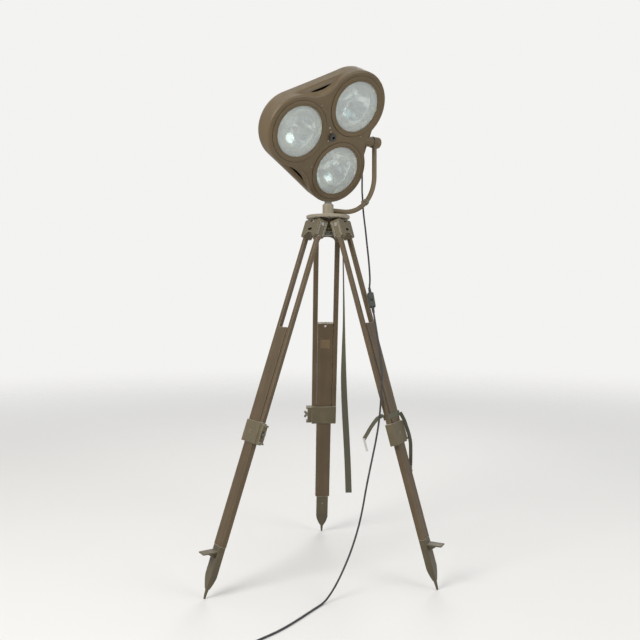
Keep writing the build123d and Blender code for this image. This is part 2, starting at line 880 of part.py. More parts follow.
def make_cable_clip():
    """Band round the arm with an eye behind it for the cable."""
    with BuildPart() as cable_clip:
        band = Plane(clip_arm_point - clip_arm_way * (clip_width / 2), x_dir=yoke_front, z_dir=clip_arm_way)
        with BuildSketch(band):
            Circle(arm_radius + loose_gap + clip_wall)
        extrude(amount=clip_width)
        eye = Plane(clip_point - clip_way * (clip_width / 2), z_dir=clip_way)
        with BuildSketch(eye):
            Circle(cord_radius + loose_gap + clip_wall)
        extrude(amount=clip_width)
        with BuildSketch(band.offset(-clip_width)):
            Circle(arm_radius + loose_gap)
        extrude(amount=3 * clip_width, mode=Mode.SUBTRACT)
        with BuildSketch(eye.offset(-clip_width)):
            Circle(cord_radius + loose_gap)
        extrude(amount=3 * clip_width, mode=Mode.SUBTRACT)
    save(cable_clip, "cable_clip")


# Tripod head

def make_tripod_plate():
    with BuildPart() as tripod_plate:
        with BuildSketch(Plane.XY.offset(plate_underside)):
            Circle(plate_radius)
        extrude(amount=plate_thickness)
        chamfer(tripod_plate.faces().sort_by(Axis.Z)[0].edges(), plate_edge)
        fillet(tripod_plate.faces().sort_by(Axis.Z)[-1].edges(), plate_edge / 2)
        with BuildSketch(Plane.XY.offset(plate_underside)):
            Circle(stud_radius + running_gap)
        extrude(amount=plate_thickness, mode=Mode.SUBTRACT)
    save(tripod_plate, "tripod_plate")


def make_leg_spider():
    """Casting under the plate, with a tongue for each leg's hinge pin."""
    with BuildPart() as leg_spider:
        with BuildSketch(Plane.XY.offset(plate_underside)):
            Circle(spider_radius)
        extrude(amount=-spider_height)
        chamfer(leg_spider.faces().sort_by(Axis.Z)[0].edges(), 2)
        for azimuth in leg_azimuth.values():
            away = Vector(1, 0, 0).rotate(Axis.Z, azimuth)
            along_pin = Vector(0, 1, 0).rotate(Axis.Z, azimuth)
            side = Plane(up * hinge_height - along_pin * (tongue_width / 2), x_dir=away, z_dir=-along_pin)
            with BuildSketch(side):
                with Locations((hinge_radius / 2, 0)):
                    Rectangle(hinge_radius, 2 * tongue_radius)
                with Locations((hinge_radius, 0)):
                    Circle(tongue_radius)
            extrude(amount=-tongue_width)
        with BuildSketch(Plane.XY.offset(plate_underside)):
            Circle(stud_radius + running_gap)
        extrude(amount=-spider_height, mode=Mode.SUBTRACT)
        for azimuth in leg_azimuth.values():
            away = Vector(1, 0, 0).rotate(Axis.Z, azimuth)
            along_pin = Vector(0, 1, 0).rotate(Axis.Z, azimuth)
            hinge = up * hinge_height + away * hinge_radius - along_pin * tongue_width
            with BuildSketch(Plane(hinge, x_dir=away, z_dir=along_pin)):
                Circle(pin_radius + running_gap)
            extrude(amount=2 * tongue_width, mode=Mode.SUBTRACT)
    save(leg_spider, "leg_spider")


def make_spigot_post():
    """Spigot that the yoke turns on, with a stud down through the plate and the casting."""
    stud_length = plate_thickness + spider_height + nut_height
    with BuildPart() as spigot_post:
        with BuildSketch(Plane.XY.offset(plate_top)):
            Circle(spigot_radius)
        extrude(amount=spigot_height)
        chamfer(spigot_post.faces().sort_by(Axis.Z)[-1].edges(), 1)
        with BuildSketch(Plane.XY.offset(plate_top)):
            Circle(stud_radius)
        extrude(amount=-stud_length)
        with BuildSketch(Plane.XY.offset(plate_top + spigot_height)):
            Circle(cap_bolt_radius + running_gap)
        extrude(amount=-cap_bolt_depth, mode=Mode.SUBTRACT)
    save(spigot_post, "spigot_post")


def make_centre_nut():
    with BuildPart() as centre_nut:
        with BuildSketch(Plane.XY.offset(plate_underside - spider_height)):
            RegularPolygon(nut_across / 2, 6, major_radius=False)
            Circle(stud_radius + running_gap, mode=Mode.SUBTRACT)
        extrude(amount=-nut_height)
    save(centre_nut, "centre_nut")


def make_hub_bolt():
    """Cap bolt and washer that keep the yoke on its spigot."""
    head_base = hub_top + cap_washer_thickness
    shank_end = plate_top + spigot_height - cap_bolt_depth + loose_gap
    with BuildPart() as hub_bolt:
        with BuildSketch(Plane.XY.offset(hub_top)):
            Circle(cap_washer_radius)
        extrude(amount=cap_washer_thickness)
        with BuildSketch(Plane.XY.offset(head_base)):
            RegularPolygon(cap_bolt_across / 2, 6, major_radius=False)
        extrude(amount=cap_bolt_head)
        chamfer(hub_bolt.faces().sort_by(Axis.Z)[-1].edges(), 1.5)
        with BuildSketch(Plane.XY.offset(hub_top)):
            Circle(cap_bolt_radius)
        extrude(amount=shank_end - hub_top)
    save(hub_bolt, "hub_bolt")


def make_hinge_pins():
    """One pin for each leg, the back one longer to carry the strap's ring."""
    half_length = bracket_width / 2 - 1
    head_radius, head_thickness = strap_pin_head
    with BuildPart() as hinge_pins:
        for leg in leg_azimuth:
            hinge = leg_plane(leg)
            with BuildSketch(beside(hinge, half_length)):
                Circle(pin_radius)
            extrude(amount=-2 * half_length)
        hinge = leg_plane("back")
        with BuildSketch(beside(hinge, -half_length)):
            Circle(pin_radius)
        extrude(amount=-strap_pin_reach)
        with BuildSketch(beside(hinge, -half_length - strap_pin_reach)):
            Circle(head_radius)
        extrude(amount=-head_thickness)
    save(hinge_pins, "hinge_pins")


# Legs

def make_bracket(leg):
    """Casting at the top of a leg: two cheeks on the hinge pin and a socket for each rail."""
    hinge = leg_plane(leg)
    height = bracket_top + bracket_drop
    rib_depth, rib_proud = cheek_rib
    with BuildPart() as bracket:
        with BuildSketch(facing(hinge, -bracket_depth / 2)):
            with Locations((0, (bracket_top - bracket_drop) / 2)):
                RectangleRounded(bracket_width, height, bracket_corner)
        extrude(amount=bracket_depth)
        front = bracket.faces().sort_by(Axis(hinge.origin, hinge.x_dir))[-1]
        fillet(front.edges(), bracket_front_round)
        with BuildSketch(facing(hinge, -bracket_depth / 2)):
            with Locations((0, -bracket_drop)):
                Ellipse(arch_width / 2, arch_height)
        extrude(amount=bracket_depth, mode=Mode.SUBTRACT)
        with BuildSketch(facing(hinge, -bracket_depth / 2)):
            with Locations((0, -bracket_slot_drop)):
                SlotOverall(*bracket_slot)
            with Locations((0, bracket_window_rise)):
                SlotOverall(*bracket_window)
        extrude(amount=bracket_depth, mode=Mode.SUBTRACT)
        pocket_front = bracket_depth / 2 - bracket_wall
        pocket_back = -bracket_depth / 2 - 1
        with BuildSketch(hinge.offset(-tongue_radius - 1)):
            with Locations(((pocket_front + pocket_back) / 2, 0)):
                Rectangle(pocket_front - pocket_back, tongue_width + 1)
        extrude(amount=height, mode=Mode.SUBTRACT)
        with BuildSketch(hinge.offset(-bracket_drop)):
            with GridLocations(0, rail_spacing, 1, 2):
                RectangleRounded(rail_depth + 2 * running_gap, rail_width + 2 * running_gap, rail_corner)
        extrude(amount=socket_depth, mode=Mode.SUBTRACT)
        with BuildSketch(hinge.offset(-bracket_drop + bracket_corner)):
            with GridLocations(cheek_rib_spacing, bracket_width + rib_proud, 2, 2):
                Rectangle(rib_depth, rib_proud)
        extrude(amount=cheek_rib_length)
        with BuildSketch(beside(hinge, bracket_width)):
            Circle(pin_radius + running_gap)
        extrude(amount=-2 * bracket_width, mode=Mode.SUBTRACT)
    save(bracket, f"bracket_{leg}")


def make_rails(leg):
    """The two side rails of a leg, from the bracket's sockets to the collar's."""
    hinge = leg_plane(leg)
    start = bracket_drop - socket_depth
    with BuildPart() as rails:
        with BuildSketch(hinge.offset(-start)):
            with GridLocations(0, rail_spacing, 1, 2):
                RectangleRounded(rail_depth, rail_width, rail_corner)
        extrude(amount=start - collar_distance)
        with BuildSketch(hinge.offset(-collar_distance)):
            with GridLocations(0, rail_spacing, 1, 2):
                Rectangle(*tenon)
        extrude(amount=-tenon_length)
    save(rails, f"rails_{leg}")


def make_collar(leg):
    """Block that joins the rails' ends, guides the slider and carries its clamp."""
    hinge = leg_plane(leg)
    width = rail_spacing + rail_width
    half = width / 2
    clamp_start = collar_distance + (collar_height - clamp_height) / 2
    with BuildPart() as collar:
        with BuildSketch(hinge.offset(-collar_distance)):
            RectangleRounded(collar_depth, width, collar_corner)
        extrude(amount=-collar_height)
        foot = collar.faces().sort_by(Axis(hinge.origin, hinge.z_dir))[0]
        fillet(foot.edges(), collar_corner / 2)
        with BuildSketch(hinge.offset(-clamp_start)):
            with Locations((0, half + clamp_reach / 2 - 1)):
                Rectangle(clamp_depth, clamp_reach + 2)
        extrude(amount=-clamp_height)
        for ledge_start in (clamp_start, clamp_start + clamp_height - clamp_ledge):
            with BuildSketch(hinge.offset(-ledge_start)):
                with Locations((0, half + clamp_ledge_reach / 2 - 1)):
                    Rectangle(clamp_depth, clamp_ledge_reach + 2)
            extrude(amount=-clamp_ledge)
        with BuildSketch(facing(hinge, collar_depth / 2)):
            with Locations((0, -collar_distance - collar_height / 2)):
                Circle(rivet_radius)
        extrude(amount=rivet_height)
        with BuildSketch(hinge.offset(-collar_distance)):
            Rectangle(slider_depth + 2 * slide_gap, slider_width + 2 * slide_gap)
        extrude(amount=-collar_height, mode=Mode.SUBTRACT)
        with BuildSketch(hinge.offset(-collar_distance)):
            with GridLocations(0, rail_spacing, 1, 2):
                Rectangle(tenon[0] + 2 * running_gap, tenon[1] + 2 * running_gap)
        extrude(amount=-tenon_length, mode=Mode.SUBTRACT)
        with BuildSketch(beside(hinge, half + clamp_reach)):
            with Locations((-collar_distance - clamp_bore_drop, 0)):
                Circle(wing_shank_radius + running_gap)
        extrude(amount=-clamp_reach - half + slider_width / 2, mode=Mode.SUBTRACT)
    save(collar, f"collar_{leg}")


def make_wing_screw(leg):
    """Thumb screw through the clamp, with its wings in line with the leg."""
    hinge = leg_plane(leg)
    tip = slider_width / 2 + loose_gap
    seat = (rail_spacing + rail_width) / 2 + clamp_reach + wing_gap
    drop = -collar_distance - clamp_bore_drop
    with BuildPart() as wing_screw:
        with BuildSketch(beside(hinge, tip)):
            with Locations((drop, 0)):
                Circle(wing_shank_radius)
        extrude(amount=seat - tip)
        with BuildSketch(beside(hinge, seat)):
            with Locations((drop, 0)):
                Circle(wing_hub_radius)
        extrude(amount=wing_hub_length)
        with BuildSketch(facing(hinge, -wing_thickness / 2)):
            for way in (-1, 1):
                with BuildLine():
                    Polyline(
                        (seat + 1, drop),
                        (seat + 1, drop + way * wing_hub_radius),
                        (seat + wing_hub_length, drop + way * wing_span / 2),
                        (seat + wing_height, drop + way * wing_span / 2),
                        (seat + wing_height, drop + way * wing_span / 4),
                        (seat + wing_hub_length, drop),
                        close=True,
                    )
                make_face()
        extrude(amount=wing_thickness)
    save(wing_screw, f"wing_screw_{leg}")


def make_slider(leg):
    """Sliding lower board of a leg, with a tongue inside the boot."""
    hinge = leg_plane(leg)
    length = leg_length(leg)
    with BuildPart() as slider:
        with BuildSketch(hinge.offset(slider_length - length)):
            RectangleRounded(slider_depth, slider_width, slider_corner)
        extrude(amount=boot_length - slider_length)
        with BuildSketch(hinge.offset(boot_length - length)):
            Rectangle(*boot_tongue)
        extrude(amount=-boot_tongue_length)
    save(slider, f"slider_{leg}")


def make_boot(leg):
    """Metal shoe with a step plate, and the hard spike that stands on the floor."""
    hinge = leg_plane(leg)
    length = leg_length(leg)
    splay = leg_splay(leg)
    root = hinge.origin + hinge.x_dir * (boot_depth / 2) + hinge.z_dir * (step_distance - length)
    level = hinge.x_dir * cos(splay) - hinge.z_dir * sin(splay)
    step_plane = Plane(root, x_dir=level, z_dir=-hinge.y_dir)
    with BuildPart() as boot:
        with BuildSketch(hinge.offset(boot_length - length)):
            RectangleRounded(boot_depth, boot_width, boot_corner)
        extrude(amount=boot_straight_end - boot_length)
        with BuildSketch(hinge.offset(boot_straight_end - length)):
            RectangleRounded(boot_depth, boot_width, boot_corner)
        with BuildSketch(hinge.offset(boot_middle_distance - length)):
            RectangleRounded(*boot_middle_size, boot_corner)
        with BuildSketch(hinge.offset(boot_tip_distance - length)):
            RectangleRounded(*boot_tip_size, boot_corner)
        loft()
        with BuildSketch(step_plane.offset(-step_width / 2)):
            with Locations(((step_reach - step_root) / 2, 0)):
                RectangleRounded(step_reach + step_root, step_thickness, step_thickness / 3)
        extrude(amount=step_width)
        with BuildSketch(step_plane.offset(-step_web_width / 2)):
            with BuildLine():
                Polyline(
                    (-step_root / 2, 0),
                    (step_web_reach, 0),
                    (step_web_drop * sin(splay) - step_root / 2, -step_web_drop * cos(splay)),
                    close=True,
                )
            make_face()
        extrude(amount=step_web_width)
        with BuildSketch(hinge.offset(boot_length - length)):
            Rectangle(boot_tongue[0] + 2 * running_gap, boot_tongue[1] + 2 * running_gap)
        extrude(amount=-boot_tongue_length, mode=Mode.SUBTRACT)
        with BuildSketch(hinge.offset(boot_tip_distance - length)):
            Circle(spike_radius + running_gap)
        extrude(amount=spike_root, mode=Mode.SUBTRACT)
        toe = Plane(hinge.origin + hinge.z_dir * (toe_radius - length), x_dir=hinge.x_dir,
                    z_dir=hinge.z_dir)
        shoulder = boot_tip_distance - toe_radius - spike_shoulder
        spike_top = boot_tip_distance - toe_radius + spike_root - loose_gap
        with BuildSketch(upright(toe)):
            with BuildLine():
                Line((0, -toe_radius), (0, spike_top))
                Line((0, spike_top), (spike_radius, spike_top))
                Line((spike_radius, spike_top), (spike_radius, shoulder))
                Line((spike_radius, shoulder), (toe_radius, 0))
                ThreePointArc((toe_radius, 0), (toe_radius * sin(pi / 4), -toe_radius * cos(pi / 4)),
                              (0, -toe_radius))
            make_face()
        revolve(axis=Axis(toe.origin, toe.z_dir))
    save(boot, f"boot_{leg}")


# Straps

def ribbon(points, sides, width, thickness):
    """Rectangles square to a strap's run, one at each point, with the given directions across it."""
    sections = []
    for index, point in enumerate(points):
        before = Vector(points[max(index - 1, 0)])
        after = Vector(points[min(index + 1, len(points) - 1)])
        along = (after - before).normalized()
        flat = (sides[index] - along * sides[index].dot(along)).normalized()
        with BuildSketch(Plane(Vector(point), x_dir=flat, z_dir=along)) as section:
            Rectangle(width, thickness)
        sections.append(section.sketch)
    return sections


back_hinge = leg_plane("back").origin
ring_x = back_hinge.X + bracket_width / 2 + strap_pin_reach / 2
ring_top = hinge_height + pin_radius + ring_wire + loose_gap
ring_bottom = ring_top - ring_height


def make_strap_ring():
    """Wire ring that hangs on the back hinge pin."""
    half = ring_width / 2
    corners = ((half, ring_bottom), (half, ring_top), (-half, ring_top), (-half, ring_bottom))
    plane = Plane((ring_x, back_hinge.Y, 0), x_dir=(0, 1, 0), z_dir=(1, 0, 0))
    with BuildPart() as strap_ring:
        with BuildLine(plane) as wire:
            FilletPolyline(*corners, radius=ring_corner, close=True)
        with BuildSketch(Plane(wire.line @ 0, z_dir=wire.line % 0)):
            Circle(ring_wire)
        sweep(path=wire.wires()[0])
    save(strap_ring, "strap_ring")


# Middle of the hanging strap from the ring down, with the turn of its flat side at each point
sling_route = (
    (62, 58, 1311.5, 0),
    (63, 59, 1240, 2),
    (65, 60, 1150, 4),
    (67.5, 64, 978, 12),
    (66.5, 67, 850, 32),
    (66.5, 68, 735, 57),
    (71.5, 70, 620, 72),
    (77.5, 72, 520, 80),
    (85, 75, 380, 85),
    (87.7, 75, 281, 85),
)


def make_sling_strap():
    """Long webbing strap sewn round the ring, edge on at the top and turning flat below."""
    loop_inner = ring_wire + loose_gap
    loop_outer = loop_inner + webbing_thickness
    points = [row[:3] for row in sling_route]
    sides = [Vector(0, 1, 0).rotate(Axis.Z, row[3]) for row in sling_route]
    sections = ribbon(points, sides, webbing_width, webbing_thickness)
    with BuildPart() as sling_strap:
        loft(sections)
        start = Vector(ring_x, back_hinge.Y - webbing_width / 2, ring_bottom)
        with BuildSketch(Plane(start, x_dir=(1, 0, 0), z_dir=(0, 1, 0))):
            Circle(loop_outer)
        extrude(amount=webbing_width)
        with BuildSketch(Plane(start, x_dir=(1, 0, 0), z_dir=(0, 1, 0))):
            Circle(loop_inner)
        extrude(amount=webbing_width, mode=Mode.SUBTRACT)
    save(sling_strap, "sling_strap")


# Ends of the leg strap in the right leg's own frame: outward, along the pin, up the leg
left_tail = ((-9, -55, -736), (-26, -63, -738), (-44, -66, -751), (-64, -70, -768),
             (-82, -73, -787), (-99, -75, -803))
right_tail = ((14, 53, -744), (19, 60, -768), (20, 65, -800), (21, 68, -853), (12, 62, -896),
              (5, 50, -935), (-2, 40, -966))
tail_sides = {"left": (-0.35, 0, -0.75), "right": (1, 0.1, 0.2)}


def make_leg_strap():
    """Strap buckled round the right leg's rails and slider above the collar, with two loose ends."""
    leg = leg_plane("right")
    width = rail_spacing + rail_width + 2 * loose_gap
    depth = slider_depth + 2 * slide_gap
    to_world = leg.from_local_coords
    tails = []
    for route, side in ((left_tail, tail_sides["left"]), (right_tail, tail_sides["right"])):
        points = [to_world(Vector(point)) for point in route]
        across = leg.x_dir * side[0] + leg.y_dir * side[1] + leg.z_dir * side[2]
        tails.append(ribbon(points, [across] * len(points), tail_width, leg_strap_thickness))
    with BuildPart() as leg_strap:
        with BuildSketch(leg.offset(-leg_strap_distance)):
            RectangleRounded(depth + 2 * leg_strap_thickness, width + 2 * leg_strap_thickness, rail_corner)
            RectangleRounded(depth, width, rail_corner - 1, mode=Mode.SUBTRACT)
        extrude(amount=-leg_strap_width)
        for sections in tails:
            loft(sections)
        with BuildSketch(leg.offset(-leg_strap_distance)):
            RectangleRounded(depth, width, rail_corner - 1)
        extrude(amount=-leg_strap_width, mode=Mode.SUBTRACT)
    save(leg_strap, "leg_strap")


def make_strap_buckles():
    """Metal tongue on the left end and buckle frame on the right end of the leg strap."""
    leg = leg_plane("right")
    tongue_top = leg.from_local_coords(Vector(left_tail[-1]))
    tongue_end = leg.from_local_coords(Vector(tongue_tip))
    buckle_bar = leg.from_local_coords(Vector(right_tail[-1]))
    width, height = buckle_size
    with BuildPart() as strap_buckles:
        along = (tongue_end - tongue_top).normalized()
        across = along.cross(leg.x_dir)
        with BuildSketch(Plane(tongue_top - along * buckle_wire, x_dir=across.cross(along), z_dir=along)):
            RectangleRounded(*tongue_section, tongue_section[1] / 3)
        extrude(amount=(tongue_end - tongue_top).length)
        frame_plane = Plane(buckle_bar - leg.y_dir * (buckle_wire / 2), x_dir=leg.x_dir, z_dir=leg.y_dir)
        with BuildSketch(frame_plane):
            with Locations((0, buckle_wire - height / 2)):
                RectangleRounded(width, height, buckle_wire + 1)
                RectangleRounded(width - 2 * buckle_wire, height - 2 * buckle_wire, 1, mode=Mode.SUBTRACT)
                Rectangle(buckle_wire, height - buckle_wire)
        extrude(amount=buckle_wire)
    save(strap_buckles, "strap_buckles")


# Cable

gland_tip = box_right + gland_nut_length + relief_length
upper_route = (
    gland_plane(gland_tip - cord_grip).origin,
    (118.5, 210.1, 1693.3),
    (141.3, 225.2, 1679.3),
    (153.8, 233.5, 1653.3),
    (157, 236, 1613),
    (156, 218, 1571),
    (153, 194, 1533),
    (150, 166, 1499),
    clip_point + clip_way * clip_run,
    clip_point,
)

switch_top = Vector(157.5, -58, 1079.5)
switch_way = Vector(0.095, -0.48, -0.87).normalized()
switch_bottom = switch_top + switch_way * switch_size[0]
switch_middle = switch_top + switch_way * (switch_size[0] / 2)

drop_route = (
    clip_point,
    clip_point - clip_way * clip_run,
    (149.5, 82, 1375),
    (152, 55, 1330),
    (154, 31, 1281),
    (157, 6, 1228),
    (159.5, -14, 1175),
    (159.5, -36, 1124),
    switch_top - switch_way * switch_run,
    switch_top,
)

lower_route = (
    switch_bottom,
    switch_bottom + switch_way * switch_run,
    (173, -131, 938),
    (180, -149, 880),
    (187, -162, 820),
    (188, -171, 760),
    (183, -180, 692),
    (177, -187, 624),
    (166, -193, 556),
    (152, -199, 492),
    (138, -205, 430),
    (125, -212, 370),
    (114, -220, 312),
    (101, -230, 256),
    (85, -240, 205),
    (65, -252, 152),
    (42, -266, 104),
    (19, -282, 63),
    (-6, -301, 29),
    (-33, -324, cord_rest),
    (-68, -372, cord_rest),
    (-110, -431, cord_rest),
    (-152, -489, cord_rest),
    (-198, -543, cord_rest),
    (-250, -590, cord_rest),
    (-296, -636, cord_rest),
)
coil_start = Vector(-322, -664, cord_rest)
coil_heading = Vector(-0.68, -0.733, 0).normalized()


def corner_radii(route):
    """Largest even bends that the runs allow: 0.45 of the shorter run over the half turn's tangent."""
    corners = [Vector(point) for point in route]
    runs = [end - start for start, end in zip(corners, corners[1:])]
    radii = []
    for before, after in zip(runs, runs[1:]):
        half_turn = radians(before.get_angle(after)) / 2
        radii.append(0.45 * min(before.length, after.length) / tan(half_turn))
    return radii


def cord_tube(route, name):
    """Round tube along straight runs joined by tangent arcs."""
    radii = corner_radii(route)
    with BuildPart() as tube:
        with BuildLine() as way:
            FilletPolyline(*route, radius=radii)
        with BuildSketch(Plane(way.line @ 0, z_dir=way.line % 0)):
            Circle(cord_radius)
        sweep(path=way.wires()[0])
    length = way.wires()[0].length
    expected = pi * cord_radius ** 2 * length
    print(name, "length", round(length, 1), "least radius", round(min(radii), 1),
          "volume share", round(tube.part.volume / expected, 5))
    print(name, "radii", [round(radius) for radius in radii])
    save(tube, name)
    return length


def make_inline_switch():
    """Slim switch body on the cable, with a slot in its front for the key."""
    length, width, depth = switch_size
    end = Plane(switch_top, x_dir=Vector(0, -1, 0).cross(switch_way), z_dir=switch_way)
    key_face = Plane(switch_middle + end.y_dir * (depth / 2), x_dir=switch_way, z_dir=end.y_dir)
    with BuildPart() as inline_switch:
        with BuildSketch(end):
            RectangleRounded(width, depth, switch_corner)
        extrude(amount=length)
        ends = inline_switch.faces().filter_by(Axis(switch_top, switch_way))
        fillet(ends.edges(), switch_end_round)
        with BuildSketch(key_face):
            SlotOverall(key_size[0] + key_travel + 2 * slide_gap, key_size[1] + 2 * slide_gap)
        extrude(amount=-key_slot_depth, mode=Mode.SUBTRACT)
    save(inline_switch, "inline_switch")
    with BuildPart() as switch_key:
        with BuildSketch(key_face.offset(slide_gap - key_slot_depth)):
            with Locations((-key_travel / 2, 0)):
                SlotOverall(key_size[0], key_size[1])
        extrude(amount=key_slot_depth + key_size[2] - slide_gap)
        fillet(switch_key.faces().sort_by(Axis(switch_middle, key_face.z_dir))[-1].edges(), key_round)
    save(switch_key, "switch_key")
    print("switch key way", key_face.x_dir, "face", key_face.z_dir)


coil_side = Vector(coil_heading.Y, -coil_heading.X, 0)
coil_plane = Plane(coil_start + coil_heading * coil_lead_in - coil_side * coil_outer,
                   x_dir=coil_side, z_dir=(0, 0, 1))
half_turn_step = coil_pitch / 2
coil_inner = coil_outer - half_turn_step * 2 * coil_turns
climb_radius = sqrt(coil_inner ** 2 + coil_layer_step ** 2 / 4)


def coil_shift(step):
    """Shift of a half turn's centre: two centres taken in turn give an even spiral."""
    return half_turn_step * (step % 2)


def half_turn(step, shift, side, height):
    """Start, middle and end of one half turn of the coil, in the coil's plane."""
    radius = coil_outer - half_turn_step * step
    start = (shift + side * radius, 0, height)
    middle = (shift, side * radius, height)
    end = (shift - side * radius, 0, height)
    return start, middle, end


def least_gap(wire):
    """Smallest clear space between parts of the coil that are more than a quarter turn apart."""
    count = 1200
    points = [wire @ (step / count) for step in range(count + 1)]
    apart = int(count * coil_inner * 1.6 / wire.length) + 1
    nearest = min(
        (points[here] - points[there]).length
        for here in range(count + 1)
        for there in range(here + apart, count + 1)
    )
    return nearest - 2 * cord_radius


def make_cable_coil():
    """Put-away length: three turns winding in, a climb, three turns winding out, and the plug's lead."""
    with BuildPart() as cable_coil:
        with BuildLine(coil_plane) as way:
            Line((coil_outer, -coil_lead_in, 0), (coil_outer, 0, 0))
            side = 1
            for step in range(2 * coil_turns):
                ThreePointArc(*half_turn(step, -coil_shift(step), side, 0))
                side = -side
            ThreePointArc(
                (coil_inner, 0, 0),
                (0, climb_radius, coil_layer_step / 2),
                (-coil_inner, 0, coil_layer_step),
            )
            side = -side
            for step in range(2 * coil_turns - 1, -1, -1):
                ThreePointArc(*half_turn(step, coil_shift(step), side, coil_layer_step))
                side = -side
            Line((-coil_outer, 0, coil_layer_step), (-coil_outer, -coil_lead, coil_layer_step))
        with BuildSketch(Plane(way.line @ 0, z_dir=way.line % 0)):
            Circle(cord_radius)
        sweep(path=way.wires()[0])
    length = way.wires()[0].length
    expected = pi * cord_radius ** 2 * length
    print("cable_coil length", round(length, 1), "volume share", round(cable_coil.part.volume / expected, 5))
    print("cable_coil gap to itself", round(least_gap(way.wires()[0]), 3))
    save(cable_coil, "cable_coil")


def make_plug():
    """Two-pin plug on the coil's outer end, lying on its flat side."""
    width, length, height = plug_size
    start = coil_plane.from_local_coords(Vector(-coil_outer, -coil_lead, coil_layer_step))
    back = Plane(start, x_dir=-coil_plane.x_dir, z_dir=-coil_plane.y_dir)
    with BuildPart() as plug:
        with BuildSketch(back):
            RectangleRounded(*plug_neck, plug_neck_corner)
        with BuildSketch(back.offset(plug_shoulder)):
            RectangleRounded(width, height, plug_corner)
        loft()
        with BuildSketch(back.offset(plug_shoulder)):
            RectangleRounded(width, height, plug_corner)
        extrude(amount=length - plug_shoulder)
        fillet(plug.faces().sort_by(Axis(start, back.z_dir))[-1].edges(), plug_edge)
        with BuildSketch(back.offset(length)):
            with GridLocations(plug_pin_spacing, 0, 2, 1):
                Circle(plug_pin_radius)
        extrude(amount=plug_pin_length)
        tips = plug.faces().sort_by(Axis(start, back.z_dir))[-2:]
        fillet([edge for tip in tips for edge in tip.edges()], plug_pin_radius / 2)
    save(plug, "plug")


for lens_name in lens_angle:
    make_bezel(lens_name)
make_head_housing()
make_lens_gaskets()
make_lens_glasses()
make_reflectors()
make_lamp_bridges()
make_bulbs()
make_lamp_frame()
make_pivot_boss()
make_handle_socket()
make_head_screws()
make_rear_cover()
make_cable_box()
make_terminal_block()
make_cable_gland()
make_yoke_arm()
make_yoke_hub()
make_pivot_bolt()
make_friction_washer()
make_cable_clip()
make_tripod_plate()
make_leg_spider()
make_spigot_post()
make_centre_nut()
make_hub_bolt()
make_hinge_pins()
for leg_name in leg_azimuth:
    make_bracket(leg_name)
    make_rails(leg_name)
    make_collar(leg_name)
    make_wing_screw(leg_name)
    make_slider(leg_name)
    make_boot(leg_name)
make_strap_ring()
make_sling_strap()
make_leg_strap()
make_strap_buckles()
cord_tube(upper_route, "cable_upper")
cord_tube(drop_route, "cable_drop")
cord_tube(lower_route + (coil_start,), "cable_lower")
make_inline_switch()
make_cable_coil()
make_plug()
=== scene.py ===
"""Looks of a surgical floor lamp on a wooden tripod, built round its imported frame."""
import math

import bmesh
import bpy
from bpy.props import FloatProperty, FloatVectorProperty, PointerProperty
from mathutils import Matrix, Vector


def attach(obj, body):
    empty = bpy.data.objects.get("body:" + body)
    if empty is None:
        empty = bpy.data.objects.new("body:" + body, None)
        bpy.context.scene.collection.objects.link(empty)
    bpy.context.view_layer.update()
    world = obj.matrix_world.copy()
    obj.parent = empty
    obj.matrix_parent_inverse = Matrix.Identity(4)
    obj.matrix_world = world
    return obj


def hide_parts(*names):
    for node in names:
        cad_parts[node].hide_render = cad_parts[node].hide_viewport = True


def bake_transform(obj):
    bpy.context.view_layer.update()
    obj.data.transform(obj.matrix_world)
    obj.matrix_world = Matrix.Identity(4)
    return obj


bl_info = {
    "name": "Surgical floor lamp",
    "version": (1, 0, 0),
    "blender": (4, 5, 0),
    "location": "View3D > Sidebar > Lamp",
    "description": "Finishes, cords, straps and small hardware of a three-lens lamp on a tripod",
    "category": "Object",
}

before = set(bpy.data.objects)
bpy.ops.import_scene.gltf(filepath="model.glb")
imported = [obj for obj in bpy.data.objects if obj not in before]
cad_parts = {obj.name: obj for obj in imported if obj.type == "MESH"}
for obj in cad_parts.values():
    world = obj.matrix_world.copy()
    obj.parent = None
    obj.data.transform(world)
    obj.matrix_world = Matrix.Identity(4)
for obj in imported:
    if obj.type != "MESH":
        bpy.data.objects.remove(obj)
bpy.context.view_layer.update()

MM = 0.001
PI = math.pi
LEGS = ("left", "right", "back")

# Tripod, in millimetres and degrees
LEG_AZIMUTH = {"left": 210, "right": 330, "back": 90}
FOOT_REACH = {"left": 522, "right": 444, "back": 476}
HINGE_RADIUS = 58
HINGE_HEIGHT = 1340
TOE_RADIUS = 4
SLIDER_LENGTH = 1006
SLIDER_DEPTH = 20
BOOT_LENGTH = 188
BOOT_DEPTH = 26
SCREW_INSET = 11
SHOE_SCREW_DROP = 34

# Screw heads, in shares of their radius and height
HEAD_HEIGHT = 0.4
HEAD_CROWN = 0.9
SLOT_RIM = 0.1
SLOT_WIDTH = 0.35
SLOT_SINK = 0.6

# Head and yoke, in millimetres and degrees
HEAD_YAW = 33.45
HEAD_DIP = 28.5
PIVOT_HEIGHT = 1690.6
FACE_AHEAD = 27
ARM_HEIGHT = 1400
ARM_REACH = 234.5
ARM_BEND = 157

# Reflectors: depths behind the face in millimetres, and colours
RIM_DEPTH = 20
RIM_FADE = 4
LINER_DEPTH = 40
SEAM_HIGHLIGHT_REACH = (1.2, 2.8)
# The bowl's dark and bright teal are painted reflections and painted highlights over its real teal tint
BOWL_PAINTED_DARK_REFLECTION = (0.07, 0.16, 0.17)
BOWL_PAINTED_HIGHLIGHT = (0.72, 0.84, 0.78)
LINER_GREEN = (0.42, 0.52, 0.4)
# The cream at the liner's rim is a painted warm highlight
RIM_PAINTED_WARM_HIGHLIGHT = (0.85, 0.68, 0.4)
# The near-white at the seam is a painted highlight
SEAM_PAINTED_HIGHLIGHT = (1.0, 1.0, 0.97)

